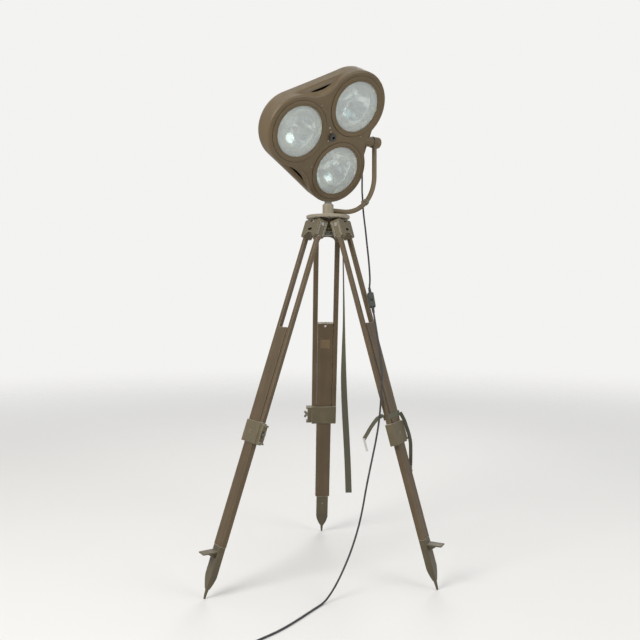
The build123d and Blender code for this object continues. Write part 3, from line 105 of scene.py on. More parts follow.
# Cord routes, in millimetres: the same points as the part's own
CORD_EXIT_ON_FACE = (186, -50, -125)
UPPER_ROUTE = (
    (118.5, 210.1, 1693.3), (141.3, 225.2, 1679.3), (153.8, 233.5, 1653.3), (157, 236, 1613),
    (156, 218, 1571), (153, 194, 1533), (150, 166, 1499),
)
CLIP_REACH = 189
CLIP_STAND_OFF = 18
CLIP_SLOPE = 66
CLIP_RUN = 32
DROP_ROUTE = (
    (149.5, 82, 1375), (152, 55, 1330), (154, 31, 1281), (157, 6, 1228), (159.5, -14, 1175),
    (159.5, -36, 1124),
)
SWITCH_TOP = (157.5, -58, 1079.5)
SWITCH_WAY = (0.095, -0.48, -0.87)
SWITCH_LENGTH = 60
SWITCH_RUN = 26
LOWER_ROUTE = (
    (173, -131, 938), (180, -149, 880), (187, -162, 820), (188, -171, 760), (183, -180, 692),
    (177, -187, 624), (166, -193, 556), (152, -199, 492), (138, -205, 430), (125, -212, 370),
    (114, -220, 312), (101, -230, 256), (85, -240, 205), (65, -252, 152), (42, -266, 104),
    (19, -282, 63), (-6, -301, 29), (-33, -324, 3.6), (-68, -372, 3.6), (-110, -431, 3.6),
    (-152, -489, 3.6), (-198, -543, 3.6), (-250, -590, 3.6), (-296, -636, 3.6),
)
COIL_START = (-322, -664, 3.6)
COIL_HEADING = (-0.68, -0.733, 0)
COIL_TURNS = 3
COIL_RADIUS = 50
COIL_STEP = 3.8
COIL_LAYER = 7.5
COIL_LEAD_IN = 10
COIL_LEAD_OUT = 46
BENDS_PER_HALF_TURN = 6

# Cord sleeves and the coil's tie, in millimetres; a rib's stops are shares of its pitch
SLEEVE_LENGTH = 24.0
SLEEVE_ROOT = 6.2
SLEEVE_TIP = 4.4
SLEEVE_RIBS = 6
SLEEVE_GROOVE = 0.7
SLEEVE_SINK = 1.0
SLEEVE_BORE = (3.2, 3.3)
RIB_STOPS = (0.6, 0.7, 0.95)
TIE_WIDTH = 9.0
TIE_THICKNESS = 1.2
TIE_BEND = 3.5
TIE_LOW = -3.5
TIE_HIGH = COIL_LAYER + 3.6
TIE_ROOM = 4.2

# Straps, in millimetres and degrees
SLING_ROUTE = (
    (62, 58, 1311.5), (63, 59, 1240), (65, 60, 1150), (67.5, 64, 978), (66.5, 67, 850),
    (66.5, 68, 735), (71.5, 70, 620), (77.5, 72, 520), (85, 75, 380), (87.7, 75, 281),
)
SLING_TURNS = (0, 2, 4, 12, 32, 57, 72, 80, 85, 85)
BAND_DISTANCE = 735
BAND_HEIGHT = 20
BAND_ROUND = (20.8, 104.6)
BAND_STAND_OFF = 1.25
BAND_BEND = 5.0
LEFT_TAIL = (
    (-9, -55, -736), (-26, -63, -738), (-44, -66, -751), (-64, -70, -768), (-82, -73, -787),
    (-99, -75, -803),
)
LEFT_TAIL_SIDE = (-0.35, 0, -0.75)
RIGHT_TAIL = (
    (14, 53, -744), (19, 60, -768), (20, 65, -800), (21, 68, -853), (12, 62, -896),
    (5, 50, -935), (-2, 40, -966),
)
RIGHT_TAIL_SIDE = (1, 0.1, 0.2)
TAIL_WIDTH = 14
STRAP_COLUMNS = 4

# Colours of what is under the paint, of dust, glass, metal and plastic
YOKE_PRIMER = (0.42, 0.38, 0.3)
PLATE_BARE = (0.5, 0.48, 0.42)
HUB_BARE = (0.52, 0.49, 0.42)
CASTING_BARE = (0.46, 0.43, 0.36)
BOOT_BARE = (0.34, 0.3, 0.24)
PAINT_DUST = (0.42, 0.38, 0.3)
PLASTIC_DUST = (0.36, 0.33, 0.28)
GLASS_CLEAN = (0.93, 0.985, 0.965)
GLASS_SMEARED = (0.88, 0.95, 0.925)
STEEL_DARK = (0.09, 0.085, 0.075)
STEEL_BRIGHT = (0.62, 0.6, 0.56)
RUBBER_BLACK = (0.022, 0.022, 0.021)
PLASTIC_BLACK = (0.018, 0.018, 0.018)
PLASTIC_CREAM = (0.55, 0.52, 0.44)

# Shares of worn edge on the boards, and the faded patch in millimetres
RAIL_WEAR = 0.74
SLIDER_WEAR = 0.36
PATCH_MIDDLE = (0, -488)
PATCH_SIZE = (38, 38)

# Stage: places in metres, shares of the key light's power, and the camera's angles in degrees
FLOOR_RADIUS = 14.0
FLOOR_FADE = (1.2, 9.0)
LIGHTS = (
    ("key_light", (-2.6, -2.4, 3.2), (0, 0, 1.1), 2.2, 1.0, (1.0, 0.97, 0.93)),
    ("fill_light", (2.8, -2.2, 2.2), (0, 0, 1.0), 2.4, 0.35, (0.93, 0.97, 1.0)),
    ("back_light", (0.6, 3.2, 3.0), (0, 0, 1.2), 2.0, 0.3, (1.0, 1.0, 1.0)),
)
CAMERA_PLACE = (-0.1739, -2.8188, 1.05)
CAMERA_DROP = 1.495
CAMERA_TURN = -2.9
CAMERA_LENS = 40.95
CAMERA_SENSOR = 36
SEEN_SURROUND = (0.9, 0.895, 0.885, 1)
SURROUND_LOW = (0.62, 0.6, 0.57)
SURROUND_HIGH = (0.98, 0.99, 1.0)


# Frames of reference

def placement(x_way, y_way, z_way, origin):
    """Placement from three directions and an origin in millimetres."""
    placed = Matrix((x_way, y_way, z_way)).transposed().to_4x4()
    placed.translation = origin * MM
    return placed


def leg_matrix(leg):
    """Placement at the hinge pin: x away from the tripod's axis, y along the pin, z up the leg."""
    azimuth = math.radians(LEG_AZIMUTH[leg])
    splay = math.atan2(FOOT_REACH[leg] - HINGE_RADIUS, HINGE_HEIGHT - TOE_RADIUS)
    away = Vector((math.cos(azimuth), math.sin(azimuth), 0))
    outward = away * math.cos(splay) + Vector((0, 0, math.sin(splay)))
    up_leg = away * -math.sin(splay) + Vector((0, 0, math.cos(splay)))
    hinge = away * HINGE_RADIUS + Vector((0, 0, HINGE_HEIGHT))
    return placement(outward, up_leg.cross(outward), up_leg, hinge)


def leg_length(leg):
    """Distance down a leg from its hinge pin to its toe, in millimetres."""
    spread = FOOT_REACH[leg] - HINGE_RADIUS
    return math.hypot(spread, HINGE_HEIGHT - TOE_RADIUS) + TOE_RADIUS


def yoke_directions():
    """The yoke's level direction towards its arm, and the one ahead of it."""
    yaw = math.radians(HEAD_YAW)
    return Vector((math.cos(yaw), math.sin(yaw), 0)), Vector((math.sin(yaw), -math.cos(yaw), 0))


def head_matrix():
    """Placement on the head's face: x towards the yoke's arm, y up the face, z out of it."""
    across, ahead = yoke_directions()
    dip = math.radians(HEAD_DIP)
    out = ahead * math.cos(dip) - Vector((0, 0, math.sin(dip)))
    return placement(across, out.cross(across), out, Vector((0, 0, PIVOT_HEIGHT)) + out * FACE_AHEAD)


def clip_place():
    """Where the cord passes the clip, and its upward direction there, in millimetres."""
    across, ahead = yoke_directions()
    turn = math.acos((CLIP_REACH - ARM_REACH + ARM_BEND) / ARM_BEND)
    height = ARM_HEIGHT + ARM_BEND * (1 - math.sin(turn))
    slope = math.radians(CLIP_SLOPE)
    point = across * CLIP_REACH + Vector((0, 0, height)) - ahead * CLIP_STAND_OFF
    return point, Vector((0, math.cos(slope), math.sin(slope)))


# Node trees

def feed(tree, socket, value):
    """Links a node's input to a socket, or sets its value."""
    if isinstance(value, bpy.types.NodeSocket):
        tree.links.new(value, socket)
    else:
        socket.default_value = value


def add(tree, kind, inputs=None, **settings):
    """Adds a node; inputs maps a socket's name or number to a value, or to a socket to read."""
    made = tree.nodes.new(kind)
    for name, value in settings.items():
        setattr(made, name, value)
    for place, value in (inputs or {}).items():
        feed(tree, made.inputs[place], value)
    return made


def math_node(tree, operation, *values, clamp=False):
    """A Math node's result."""
    made = add(tree, "ShaderNodeMath", dict(enumerate(values)), operation=operation, use_clamp=clamp)
    return made.outputs[0]


def ramp_between(tree, value, low, high, to_low=0.0, to_high=1.0):
    """A smooth step of a value between two limits."""
    inputs = {"Value": value, "From Min": low, "From Max": high, "To Min": to_low, "To Max": to_high}
    made = add(tree, "ShaderNodeMapRange", inputs, interpolation_type="SMOOTHSTEP")
    return made.outputs["Result"]


def mixed(tree, share, first, second):
    """A colour between two colours or sockets."""
    made = add(tree, "ShaderNodeMix", {0: share}, data_type="RGBA")
    for place, value in ((6, first), (7, second)):
        given = value if isinstance(value, bpy.types.NodeSocket) else (*value[:3], 1)
        feed(tree, made.inputs[place], given)
    return made.outputs[2]


def noise(tree, vector, scale, detail=4.0, roughness=0.55, distortion=0.0):
    """A noise texture's value."""
    inputs = {"Vector": vector, "Scale": scale, "Detail": detail, "Roughness": roughness,
              "Distortion": distortion}
    return add(tree, "ShaderNodeTexNoise", inputs).outputs["Fac"]


def scaled(tree, vector, factors):
    """A vector times fixed factors."""
    made = add(tree, "ShaderNodeVectorMath", {0: vector, 1: factors}, operation="MULTIPLY")
    return made.outputs[0]


def new_group(name, inputs, outputs):
    """An empty node group with named sockets, its input node's sockets and its output node."""
    tree = bpy.data.node_groups.new(name, "ShaderNodeTree")
    for label, kind, value in inputs:
        socket = tree.interface.new_socket(label, in_out="INPUT", socket_type=kind)
        socket.default_value = value
    for label, kind in outputs:
        tree.interface.new_socket(label, in_out="OUTPUT", socket_type=kind)
    entry = tree.nodes.new("NodeGroupInput")
    return tree, entry.outputs, tree.nodes.new("NodeGroupOutput")


FLOAT = "NodeSocketFloat"
VECTOR = "NodeSocketVector"


def edge_wear_group():
    """Mask of paint rubbed off along sharp edges, broken up by noise."""
    tree, given, out = new_group(
        "Edge Wear",
        (("Vector", VECTOR, (0, 0, 0)), ("Width", FLOAT, 0.002), ("Spread", FLOAT, 60.0),
         ("Amount", FLOAT, 0.5)),
        (("Wear", FLOAT),),
    )
    rounded = add(tree, "ShaderNodeBevel", {"Radius": given["Width"]}, samples=6)
    flat = add(tree, "ShaderNodeNewGeometry")
    agree = add(tree, "ShaderNodeVectorMath",
                {0: rounded.outputs["Normal"], 1: flat.outputs["Normal"]}, operation="DOT_PRODUCT")
    bend = ramp_between(tree, math_node(tree, "SUBTRACT", 1.0, agree.outputs["Value"]), 0.004, 0.11)
    broken = math_node(tree, "ADD", noise(tree, given["Vector"], given["Spread"], 8.0, 0.7), 0.35)
    value = math_node(tree, "MULTIPLY", bend, broken)
    limit = math_node(tree, "SUBTRACT", 1.0, given["Amount"])
    above = math_node(tree, "SUBTRACT", value, limit)
    tree.links.new(ramp_between(tree, above, 0.0, 0.12), out.inputs["Wear"])
    return tree


def paint_film_group():
    """Uneven tone and fine texture of brushed or sprayed paint."""
    tree, given, out = new_group(
        "Paint Film",
        (("Vector", VECTOR, (0, 0, 0)), ("Blotch Scale", FLOAT, 9.0), ("Grit Scale", FLOAT, 700.0)),
        (("Blotch", FLOAT), ("Speck", FLOAT), ("Height", FLOAT)),
    )
    blotch = noise(tree, given["Vector"], given["Blotch Scale"], 6.0, 0.6, 0.3)
    grit = noise(tree, given["Vector"], given["Grit Scale"], 2.0, 0.5)
    speck = ramp_between(tree, noise(tree, given["Vector"], 190.0, 3.0, 0.6), 0.62, 0.72)
    height = math_node(tree, "ADD", math_node(tree, "MULTIPLY", grit, 0.5), blotch)
    tree.links.new(ramp_between(tree, blotch, 0.3, 0.7), out.inputs["Blotch"])
    tree.links.new(speck, out.inputs["Speck"])
    tree.links.new(height, out.inputs["Height"])
    return tree


def wood_grain_group():
    """Long streaks and pores of ash along Z, showing through paint."""
    tree, given, out = new_group(
        "Wood Grain",
        (("Vector", VECTOR, (0, 0, 0)), ("Fineness", FLOAT, 1.0)),
        (("Streak", FLOAT), ("Pore", FLOAT), ("Height", FLOAT)),
    )
    stretched = scaled(tree, given["Vector"], (1.0, 1.0, 0.035))
    fine = math_node(tree, "MULTIPLY", given["Fineness"], 160.0)
    coarse = math_node(tree, "MULTIPLY", given["Fineness"], 45.0)
    streak = noise(tree, stretched, coarse, 5.0, 0.6, 0.6)
    pore = noise(tree, stretched, fine, 3.0, 0.7)
    tree.links.new(ramp_between(tree, streak, 0.35, 0.65), out.inputs["Streak"])
    tree.links.new(ramp_between(tree, pore, 0.56, 0.66), out.inputs["Pore"])
    height = math_node(tree, "SUBTRACT", streak, math_node(tree, "MULTIPLY", pore, 0.6))
    tree.links.new(height, out.inputs["Height"])
    return tree


def dust_group():
    """Mask of dust that settles on faces that look up."""
    tree, given, out = new_group(
        "Dust",
        (("Vector", VECTOR, (0, 0, 0)), ("Scale", FLOAT, 25.0), ("Amount", FLOAT, 0.3)),
        (("Dust", FLOAT),),
    )
    normal = add(tree, "ShaderNodeNewGeometry").outputs["Normal"]
    upward = add(tree, "ShaderNodeSeparateXYZ", {0: normal}).outputs["Z"]
    facing_up = ramp_between(tree, upward, 0.1, 1.0)
    patchy = ramp_between(tree, noise(tree, given["Vector"], given["Scale"], 6.0, 0.65), 0.25, 0.75)
    settled = math_node(tree, "MULTIPLY", facing_up, patchy)
    tree.links.new(math_node(tree, "MULTIPLY", settled, given["Amount"]), out.inputs["Dust"])
    return tree


def chips_group():
    """Mask of small chips and rubbed spots."""
    tree, given, out = new_group(
        "Chips",
        (("Vector", VECTOR, (0, 0, 0)), ("Scale", FLOAT, 40.0), ("Amount", FLOAT, 0.1)),
        (("Chip", FLOAT),),
    )
    spots = noise(tree, given["Vector"], given["Scale"], 5.0, 0.75)
    limit = math_node(tree, "SUBTRACT", 0.82, math_node(tree, "MULTIPLY", given["Amount"], 0.3))
    above = math_node(tree, "SUBTRACT", spots, limit)
    tree.links.new(ramp_between(tree, above, 0.0, 0.03), out.inputs["Chip"])
    return tree


def weave_group():
    """Ribs and crossing threads of webbing, on a UV map in metres, with a mask for painted shade in the
    grooves between threads.
    """
    tree, given, out = new_group(
        "Webbing Weave",
        (("Vector", VECTOR, (0, 0, 0)), ("Pitch", FLOAT, 0.0012)),
        (("Painted Thread Shade", FLOAT), ("Height", FLOAT)),
    )
    parts = add(tree, "ShaderNodeSeparateXYZ", {0: given["Vector"]})
    cross = math_node(tree, "DIVIDE", parts.outputs["X"], given["Pitch"])
    along = math_node(tree, "DIVIDE", parts.outputs["Y"], given["Pitch"])
    slant = math_node(tree, "ADD", along, math_node(tree, "MULTIPLY", cross, 0.5))
    rib = math_node(tree, "ABSOLUTE", math_node(tree, "SINE", math_node(tree, "MULTIPLY", cross, PI)))
    pick = math_node(tree, "ABSOLUTE", math_node(tree, "SINE", math_node(tree, "MULTIPLY", slant, PI)))
    height = math_node(tree, "MULTIPLY", rib, math_node(tree, "ADD", pick, 0.4))
    uneven = noise(tree, given["Vector"], 350.0, 3.0)
    tree.links.new(math_node(tree, "MULTIPLY", height, uneven), out.inputs["Painted Thread Shade"])
    tree.links.new(height, out.inputs["Height"])
    return tree


GROUP_MAKERS = {
    "Edge Wear": edge_wear_group,
    "Paint Film": paint_film_group,
    "Wood Grain": wood_grain_group,
    "Dust": dust_group,
    "Chips": chips_group,
    "Webbing Weave": weave_group,
}


def grouped(tree, name, inputs):
    """Places a shared group in a material, making the group the first time."""
    shared = bpy.data.node_groups.get(name) or GROUP_MAKERS[name]()
    made = tree.nodes.new("ShaderNodeGroup")
    made.node_tree = shared
    for place, value in inputs.items():
        feed(tree, made.inputs[place], value)
    return made.outputs


# Materials

def new_material(name, **sockets):
    """A material with one Principled BSDF, its tree and that shader."""
    made = bpy.data.materials.new(name)
    made.use_nodes = True
    shader = made.node_tree.nodes["Principled BSDF"]
    for label, value in sockets.items():
        shader.inputs[label.replace("_", " ")].default_value = value
    return made, made.node_tree, shader


def object_place(tree, own_frame=None):
    """Object coordinates, turned into a piece's own frame where it has one."""
    place = add(tree, "ShaderNodeTexCoord").outputs["Object"]
    if own_frame is None:
        return place
    inputs = {"Vector": place, "Location": own_frame.translation,
              "Rotation": own_frame.to_euler("XYZ")}
    return add(tree, "ShaderNodeMapping", inputs, vector_type="TEXTURE").outputs[0]


def shade(colour, factor):
    """A lighter or darker version of a colour."""
    return tuple(min(1.0, part * factor) for part in colour[:3])


def bumped(tree, shader, height, distance, strength=1.0):
    """Feeds a height to the shader's normal."""
    inputs = {"Height": height, "Distance": distance, "Strength": strength}
    bump = add(tree, "ShaderNodeBump", inputs)
    tree.links.new(bump.outputs["Normal"], shader.inputs["Normal"])


def painted(name, colour, under, width, amount, roughness=0.45, metal=0.0, dust=0.25, chips=0.1,
            blotch=9.0, spread=60.0, grit=0.00012, contrast=0.16):
    """Paint on metal: uneven film, edges rubbed to what is under it, chips and settled dust."""
    made, tree, shader = new_material(name)
    place = object_place(tree)
    film = grouped(tree, "Paint Film", {"Vector": place, "Blotch Scale": blotch})
    wear = grouped(tree, "Edge Wear",
                   {"Vector": place, "Width": width, "Spread": spread, "Amount": amount})["Wear"]
    chip = grouped(tree, "Chips", {"Vector": place, "Scale": spread, "Amount": chips})["Chip"]
    settled = grouped(tree, "Dust", {"Vector": place, "Amount": dust})["Dust"]
    bare = math_node(tree, "MAXIMUM", wear, chip)
    tone = mixed(tree, film["Blotch"], shade(colour, 1 - contrast), shade(colour, 1 + contrast))
    tone = mixed(tree, settled, tone, PAINT_DUST)
    tone = mixed(tree, bare, tone, under)
    tree.links.new(tone, shader.inputs["Base Color"])
    rough = math_node(tree, "ADD", roughness - 0.06, math_node(tree, "MULTIPLY", film["Blotch"], 0.12))
    rough = math_node(tree, "ADD", rough, math_node(tree, "MULTIPLY", settled, 0.3), clamp=True)
    tree.links.new(rough, shader.inputs["Roughness"])
    if metal:
        tree.links.new(math_node(tree, "MULTIPLY", bare, metal), shader.inputs["Metallic"])
    height = math_node(tree, "SUBTRACT", film["Height"], math_node(tree, "MULTIPLY", bare, 1.5))
    bumped(tree, shader, height, grit)
    return made


def painted_wood(name, leg, colour, under, amount, patch=None):
    """Paint on ash boards: grain along the leg, edges rubbed pale, and a bare faded patch if given."""
    made, tree, shader = new_material(name)
    place = object_place(tree, leg_matrix(leg))
    film = grouped(tree, "Paint Film", {"Vector": place, "Blotch Scale": 7.0})
    grain = grouped(tree, "Wood Grain", {"Vector": place})
    wear = grouped(tree, "Edge Wear",
                   {"Vector": scaled(tree, place, (1.0, 1.0, 0.25)), "Width": 0.0035,
                    "Spread": 130.0, "Amount": amount})["Wear"]
    chip = grouped(tree, "Chips", {"Vector": place, "Scale": 55.0, "Amount": 0.12})["Chip"]
    bare = math_node(tree, "MAXIMUM", wear, chip)
    tone = mixed(tree, film["Blotch"], shade(colour, 0.86), shade(colour, 1.14))
    tone = mixed(tree, math_node(tree, "MULTIPLY", grain["Streak"], 0.35), tone, shade(colour, 0.7))
    if patch:
        tone = mixed(tree, faded_patch(tree, place, *patch), tone, shade(colour, 1.75))
    tone = mixed(tree, bare, tone, under)
    tree.links.new(tone, shader.inputs["Base Color"])
    rough = math_node(tree, "ADD", 0.42, math_node(tree, "MULTIPLY", grain["Streak"], 0.16))
    tree.links.new(rough, shader.inputs["Roughness"])
    height = math_node(tree, "ADD", grain["Height"], math_node(tree, "MULTIPLY", film["Height"], 0.4))
    bumped(tree, shader, math_node(tree, "SUBTRACT", height, bare), 0.00025)
    return made


def faded_patch(tree, place, middle, size):
    """Mask of a worn rectangle on a leg's inner face."""
    parts = add(tree, "ShaderNodeSeparateXYZ", {0: place}).outputs
    ragged = math_node(tree, "MULTIPLY", math_node(tree, "SUBTRACT", noise(tree, place, 90.0), 0.5), 0.006)
    masks = []
    for axis, centre, width in (("Y", middle[0], size[0]), ("Z", middle[1], size[1])):
        away = math_node(tree, "ABSOLUTE", math_node(tree, "SUBTRACT", parts[axis], centre * MM))
        away = math_node(tree, "ADD", away, ragged)
        masks.append(ramp_between(tree, away, width * MM / 2 - 0.001, width * MM / 2 + 0.001, 1.0, 0.0))
    inner = ramp_between(tree, parts["X"], -0.002, 0.002, 1.0, 0.0)
    inside = math_node(tree, "MULTIPLY", math_node(tree, "MULTIPLY", *masks), inner)
    rubbed = ramp_between(tree, noise(tree, place, 160.0, 5.0, 0.7), 0.3, 0.6, 0.35, 1.0)
    return math_node(tree, "MULTIPLY", inside, rubbed)


def metal(name, colour, roughness, dirt=0.3):
    """Bare metal with fine scratches and grime."""
    made, tree, shader = new_material(name, Metallic=1.0)
    place = object_place(tree)
    streaks = noise(tree, scaled(tree, place, (1.0, 1.0, 0.15)), 420.0, 4.0, 0.6)
    grime = ramp_between(tree, noise(tree, place, 70.0, 6.0, 0.7), 0.4, 0.7)
    tone = mixed(tree, math_node(tree, "MULTIPLY", grime, dirt), colour, shade(colour, 0.35))
    tree.links.new(tone, shader.inputs["Base Color"])
    rough = math_node(tree, "ADD", roughness, math_node(tree, "MULTIPLY", streaks, 0.12))
    rough = math_node(tree, "ADD", rough, math_node(tree, "MULTIPLY", grime, 0.15), clamp=True)
    tree.links.new(rough, shader.inputs["Roughness"])
    bumped(tree, shader, streaks, 0.00005)
    return made


def moulded(name, colour, roughness):
    """Moulded rubber or plastic with a fine skin and a little dust."""
    made, tree, shader = new_material(name)
    place = object_place(tree)
    skin = noise(tree, place, 900.0, 3.0, 0.6)
    wide = noise(tree, place, 30.0, 4.0, 0.6)
    settled = grouped(tree, "Dust", {"Vector": place, "Scale": 45.0, "Amount": 0.2})["Dust"]
    tone = mixed(tree, wide, shade(colour, 0.8), shade(colour, 1.25))
    tone = mixed(tree, settled, tone, PLASTIC_DUST)
    tree.links.new(tone, shader.inputs["Base Color"])
    rough = math_node(tree, "ADD", roughness - 0.08, math_node(tree, "MULTIPLY", wide, 0.16), clamp=True)
    tree.links.new(rough, shader.inputs["Roughness"])
    bumped(tree, shader, skin, 0.00006)
    return made


def lens_glass_material():
    """Clear front glass with a faint green edge and a trace of dust."""
    made, tree, shader = new_material("lens_glass", Transmission_Weight=1.0, IOR=1.45)
    place = object_place(tree)
    smear = ramp_between(tree, noise(tree, place, 22.0, 6.0, 0.65), 0.35, 0.8)
    tone = mixed(tree, smear, GLASS_CLEAN, GLASS_SMEARED)
    tree.links.new(tone, shader.inputs["Base Color"])
    rough = math_node(tree, "MULTIPLY", smear, 0.03)
    tree.links.new(rough, shader.inputs["Roughness"])
    return made


def silvered_material():
    """Silvered bowl with painted reflections: dark and bright teal patches over its teal tint, a painted
    highlight along its seam, and a green liner with a painted warm highlight towards its rim.
    """
    made, tree, shader = new_material("silvered_glass", Metallic=1.0)
    place = object_place(tree, head_matrix())
    depth = add(tree, "ShaderNodeSeparateXYZ", {0: place}).outputs["Z"]
    # Noise patches between dark and bright teal: painted reflections on the bowl, over its real teal tint
    cast = ramp_between(tree, noise(tree, place, 17.0, 3.0, 0.55, 1.2), 0.42, 0.6)
    bowl = mixed(tree, cast, BOWL_PAINTED_DARK_REFLECTION, BOWL_PAINTED_HIGHLIGHT)
    stain = ramp_between(tree, noise(tree, place, 24.0, 4.0, 0.6), 0.35, 0.7)
    liner = mixed(tree, stain, shade(LINER_GREEN, 0.75), LINER_GREEN)
    # Cream towards the liner's rim: a painted warm highlight
    rim = ramp_between(tree, depth, -RIM_DEPTH * MM, (RIM_FADE - RIM_DEPTH) * MM)
    liner = mixed(tree, rim, liner, RIM_PAINTED_WARM_HIGHLIGHT)
    in_front = ramp_between(tree, depth, -(LINER_DEPTH + 1) * MM, -(LINER_DEPTH - 1) * MM)
    tone = mixed(tree, in_front, bowl, liner)
    # A near-white band along the seam between liner and bowl: a painted highlight
    away = math_node(tree, "ABSOLUTE", math_node(tree, "ADD", depth, LINER_DEPTH * MM))
    seam = ramp_between(tree, away, SEAM_HIGHLIGHT_REACH[0] * MM, SEAM_HIGHLIGHT_REACH[1] * MM, 1.0, 0.0)
    tone = mixed(tree, seam, tone, SEAM_PAINTED_HIGHLIGHT)
    tree.links.new(tone, shader.inputs["Base Color"])
    rough = math_node(tree, "ADD", 0.06, math_node(tree, "MULTIPLY", cast, 0.06))
    tree.links.new(rough, shader.inputs["Roughness"])
    bumped(tree, shader, noise(tree, place, 38.0, 3.0), 0.0006)
    return made


def webbing(name, colour):
    """Woven cotton strap on its own UV map, with faded, fuzzy ribs, lighter on their tops and with painted
    shade in the grooves between them.
    """
    made, tree, shader = new_material(name, Sheen_Weight=0.25)
    surface = add(tree, "ShaderNodeUVMap", uv_map="Strap").outputs["UV"]
    weave = grouped(tree, "Webbing Weave", {"Vector": surface})
    fade = noise(tree, surface, 28.0, 5.0, 0.65)
    # Rib tops lighter and the grooves between threads darker: painted shade of the weave
    tone = mixed(tree, weave["Painted Thread Shade"], shade(colour, 0.45), shade(colour, 1.5))
    tone = mixed(tree, ramp_between(tree, fade, 0.35, 0.75, 0.0, 0.3), tone, shade(colour, 1.9))
    tree.links.new(tone, shader.inputs["Base Color"])
    rough = math_node(tree, "ADD", 0.78, math_node(tree, "MULTIPLY", fade, 0.15))
    tree.links.new(rough, shader.inputs["Roughness"])
    bumped(tree, shader, weave["Height"], 0.0004)
    return made


def cord_rubber(name, colour):
    """Dull rubber flex, rubbed and a little dusty."""
    made, tree, shader = new_material(name)
    place = object_place(tree)
    rub = noise(tree, place, 60.0, 5.0, 0.65)
    tone = mixed(tree, ramp_between(tree, rub, 0.3, 0.75), shade(colour, 0.75), shade(colour, 1.5))
    tree.links.new(tone, shader.inputs["Base Color"])
    rough = math_node(tree, "ADD", 0.42, math_node(tree, "MULTIPLY", rub, 0.22))
    tree.links.new(rough, shader.inputs["Roughness"])
    bumped(tree, shader, noise(tree, place, 1400.0, 2.0), 0.00005)
    return made


def finish_materials(colours):
    """Every finish of the lamp, by name."""
    olive = tuple(colours.head_paint)
    fitting = tuple(colours.fitting_paint)
    plate = tuple(colours.plate_paint)
    board = tuple(colours.leg_paint)
    pale = tuple(colours.bare_edge)
    finishes = {
        "head_paint": painted("head_paint", olive, shade(olive, 1.7), width=0.0016, amount=0.18,
                              roughness=0.42, dust=0.18, chips=0.02, blotch=6.0, contrast=0.1),
        "yoke_paint": painted("yoke_paint", shade(olive, 1.05), YOKE_PRIMER, width=0.0016, amount=0.34,
                              roughness=0.44, dust=0.2, chips=0.12),
        "plate_paint": painted("plate_paint", plate, PLATE_BARE, width=0.004, amount=0.6,
                               roughness=0.5, metal=0.3, dust=0.5, chips=0.3, spread=90.0),
        "hub_paint": painted("hub_paint", shade(plate, 1.1), HUB_BARE, width=0.003, amount=0.5,
                             roughness=0.5, metal=0.3, dust=0.2, chips=0.3, spread=90.0),
        "casting_paint": painted("casting_paint", fitting, CASTING_BARE, width=0.0022, amount=0.5,
                                 roughness=0.48, metal=0.35, dust=0.3, chips=0.22, grit=0.0003),
        "boot_paint": painted("boot_paint", shade(fitting, 0.72), BOOT_BARE, width=0.002, amount=0.42,
                              roughness=0.5, metal=0.4, dust=0.3, chips=0.2, grit=0.0003),
        "dark_steel": metal("dark_steel", STEEL_DARK, 0.42, dirt=0.5),
        "bright_steel": metal("bright_steel", STEEL_BRIGHT, 0.26),
        "rubber": moulded("rubber", RUBBER_BLACK, 0.6),
        "dark_plastic": moulded("dark_plastic", PLASTIC_BLACK, 0.38),
        "terminal_plastic": moulded("terminal_plastic", PLASTIC_CREAM, 0.45),
        "lens_glass": lens_glass_material(),
        "silvered_glass": silvered_material(),
        "webbing": webbing("webbing", tuple(colours.webbing)),
        "cord": cord_rubber("cord", tuple(colours.cord)),
    }
    for leg in LEGS:
        finishes[f"rails_{leg}"] = painted_wood(f"rails_{leg}", leg, board, pale, RAIL_WEAR)
        patch = (PATCH_MIDDLE, PATCH_SIZE) if leg == "back" else None
        finishes[f"slider_{leg}"] = painted_wood(f"slider_{leg}", leg, shade(board, 0.95), pale,
                                                 SLIDER_WEAR, patch)
    return finishes


NODE_FINISH = {
    "head_paint": ("head_housing", "bezel_top", "bezel_left", "bezel_bottom", "rear_cover",
                   "cable_box", "pivot_boss"),
    "yoke_paint": ("yoke_arm",),
    "plate_paint": ("tripod_plate",),
    "hub_paint": ("yoke_hub",),
    "casting_paint": ("leg_spider", "bracket_left", "bracket_right", "bracket_back",
                      "collar_left", "collar_right", "collar_back", "cable_clip"),
    "boot_paint": ("boot_left", "boot_right", "boot_back"),
    "dark_steel": ("spigot_post", "centre_nut", "hinge_pins", "strap_ring", "friction_washer",
                   "lamp_frame", "wing_screw_left", "wing_screw_right", "wing_screw_back",
                   "face_screws", "hub_bolt"),
    "bright_steel": ("socket_screws", "rear_cover_screws", "pivot_bolt", "strap_buckles"),
    "rubber": ("lens_gaskets", "cable_gland"),
    "dark_plastic": ("inline_switch", "switch_key", "plug", "handle_socket", "lamp_bridges"),
    "terminal_plastic": ("terminal_block",),
    "lens_glass": ("lens_glasses", "bulbs"),
    "silvered_glass": ("reflectors",),
    "rails_left": ("rails_left",), "rails_right": ("rails_right",), "rails_back": ("rails_back",),
    "slider_left": ("slider_left",), "slider_right": ("slider_right",), "slider_back": ("slider_back",),
}


def give(piece, name):
    """Puts one of the lamp's finishes on a piece."""
    found = bpy.data.materials[name]
    if piece.data.materials:
        for place in range(len(piece.data.materials)):
            piece.data.materials[place] = found
    else:
        piece.data.materials.append(found)


# Meshes and curves

def in_scene(name, data):
    """An object that shows a mesh, curve, light or camera."""
    made = bpy.data.objects.new(name, data)
    bpy.context.scene.collection.objects.link(made)
    return made


def new_piece(name, bm, finish, body, smooth=True):
    """An object from a bmesh, at the origin, with its finish and slot, riding on a body."""
    mesh = bpy.data.meshes.new(name)
    for face in bm.faces:
        face.smooth = smooth
    bm.to_mesh(mesh)
    bm.free()
    piece = in_scene(name, mesh)
    give(piece, finish)
    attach(piece, body)
    return piece


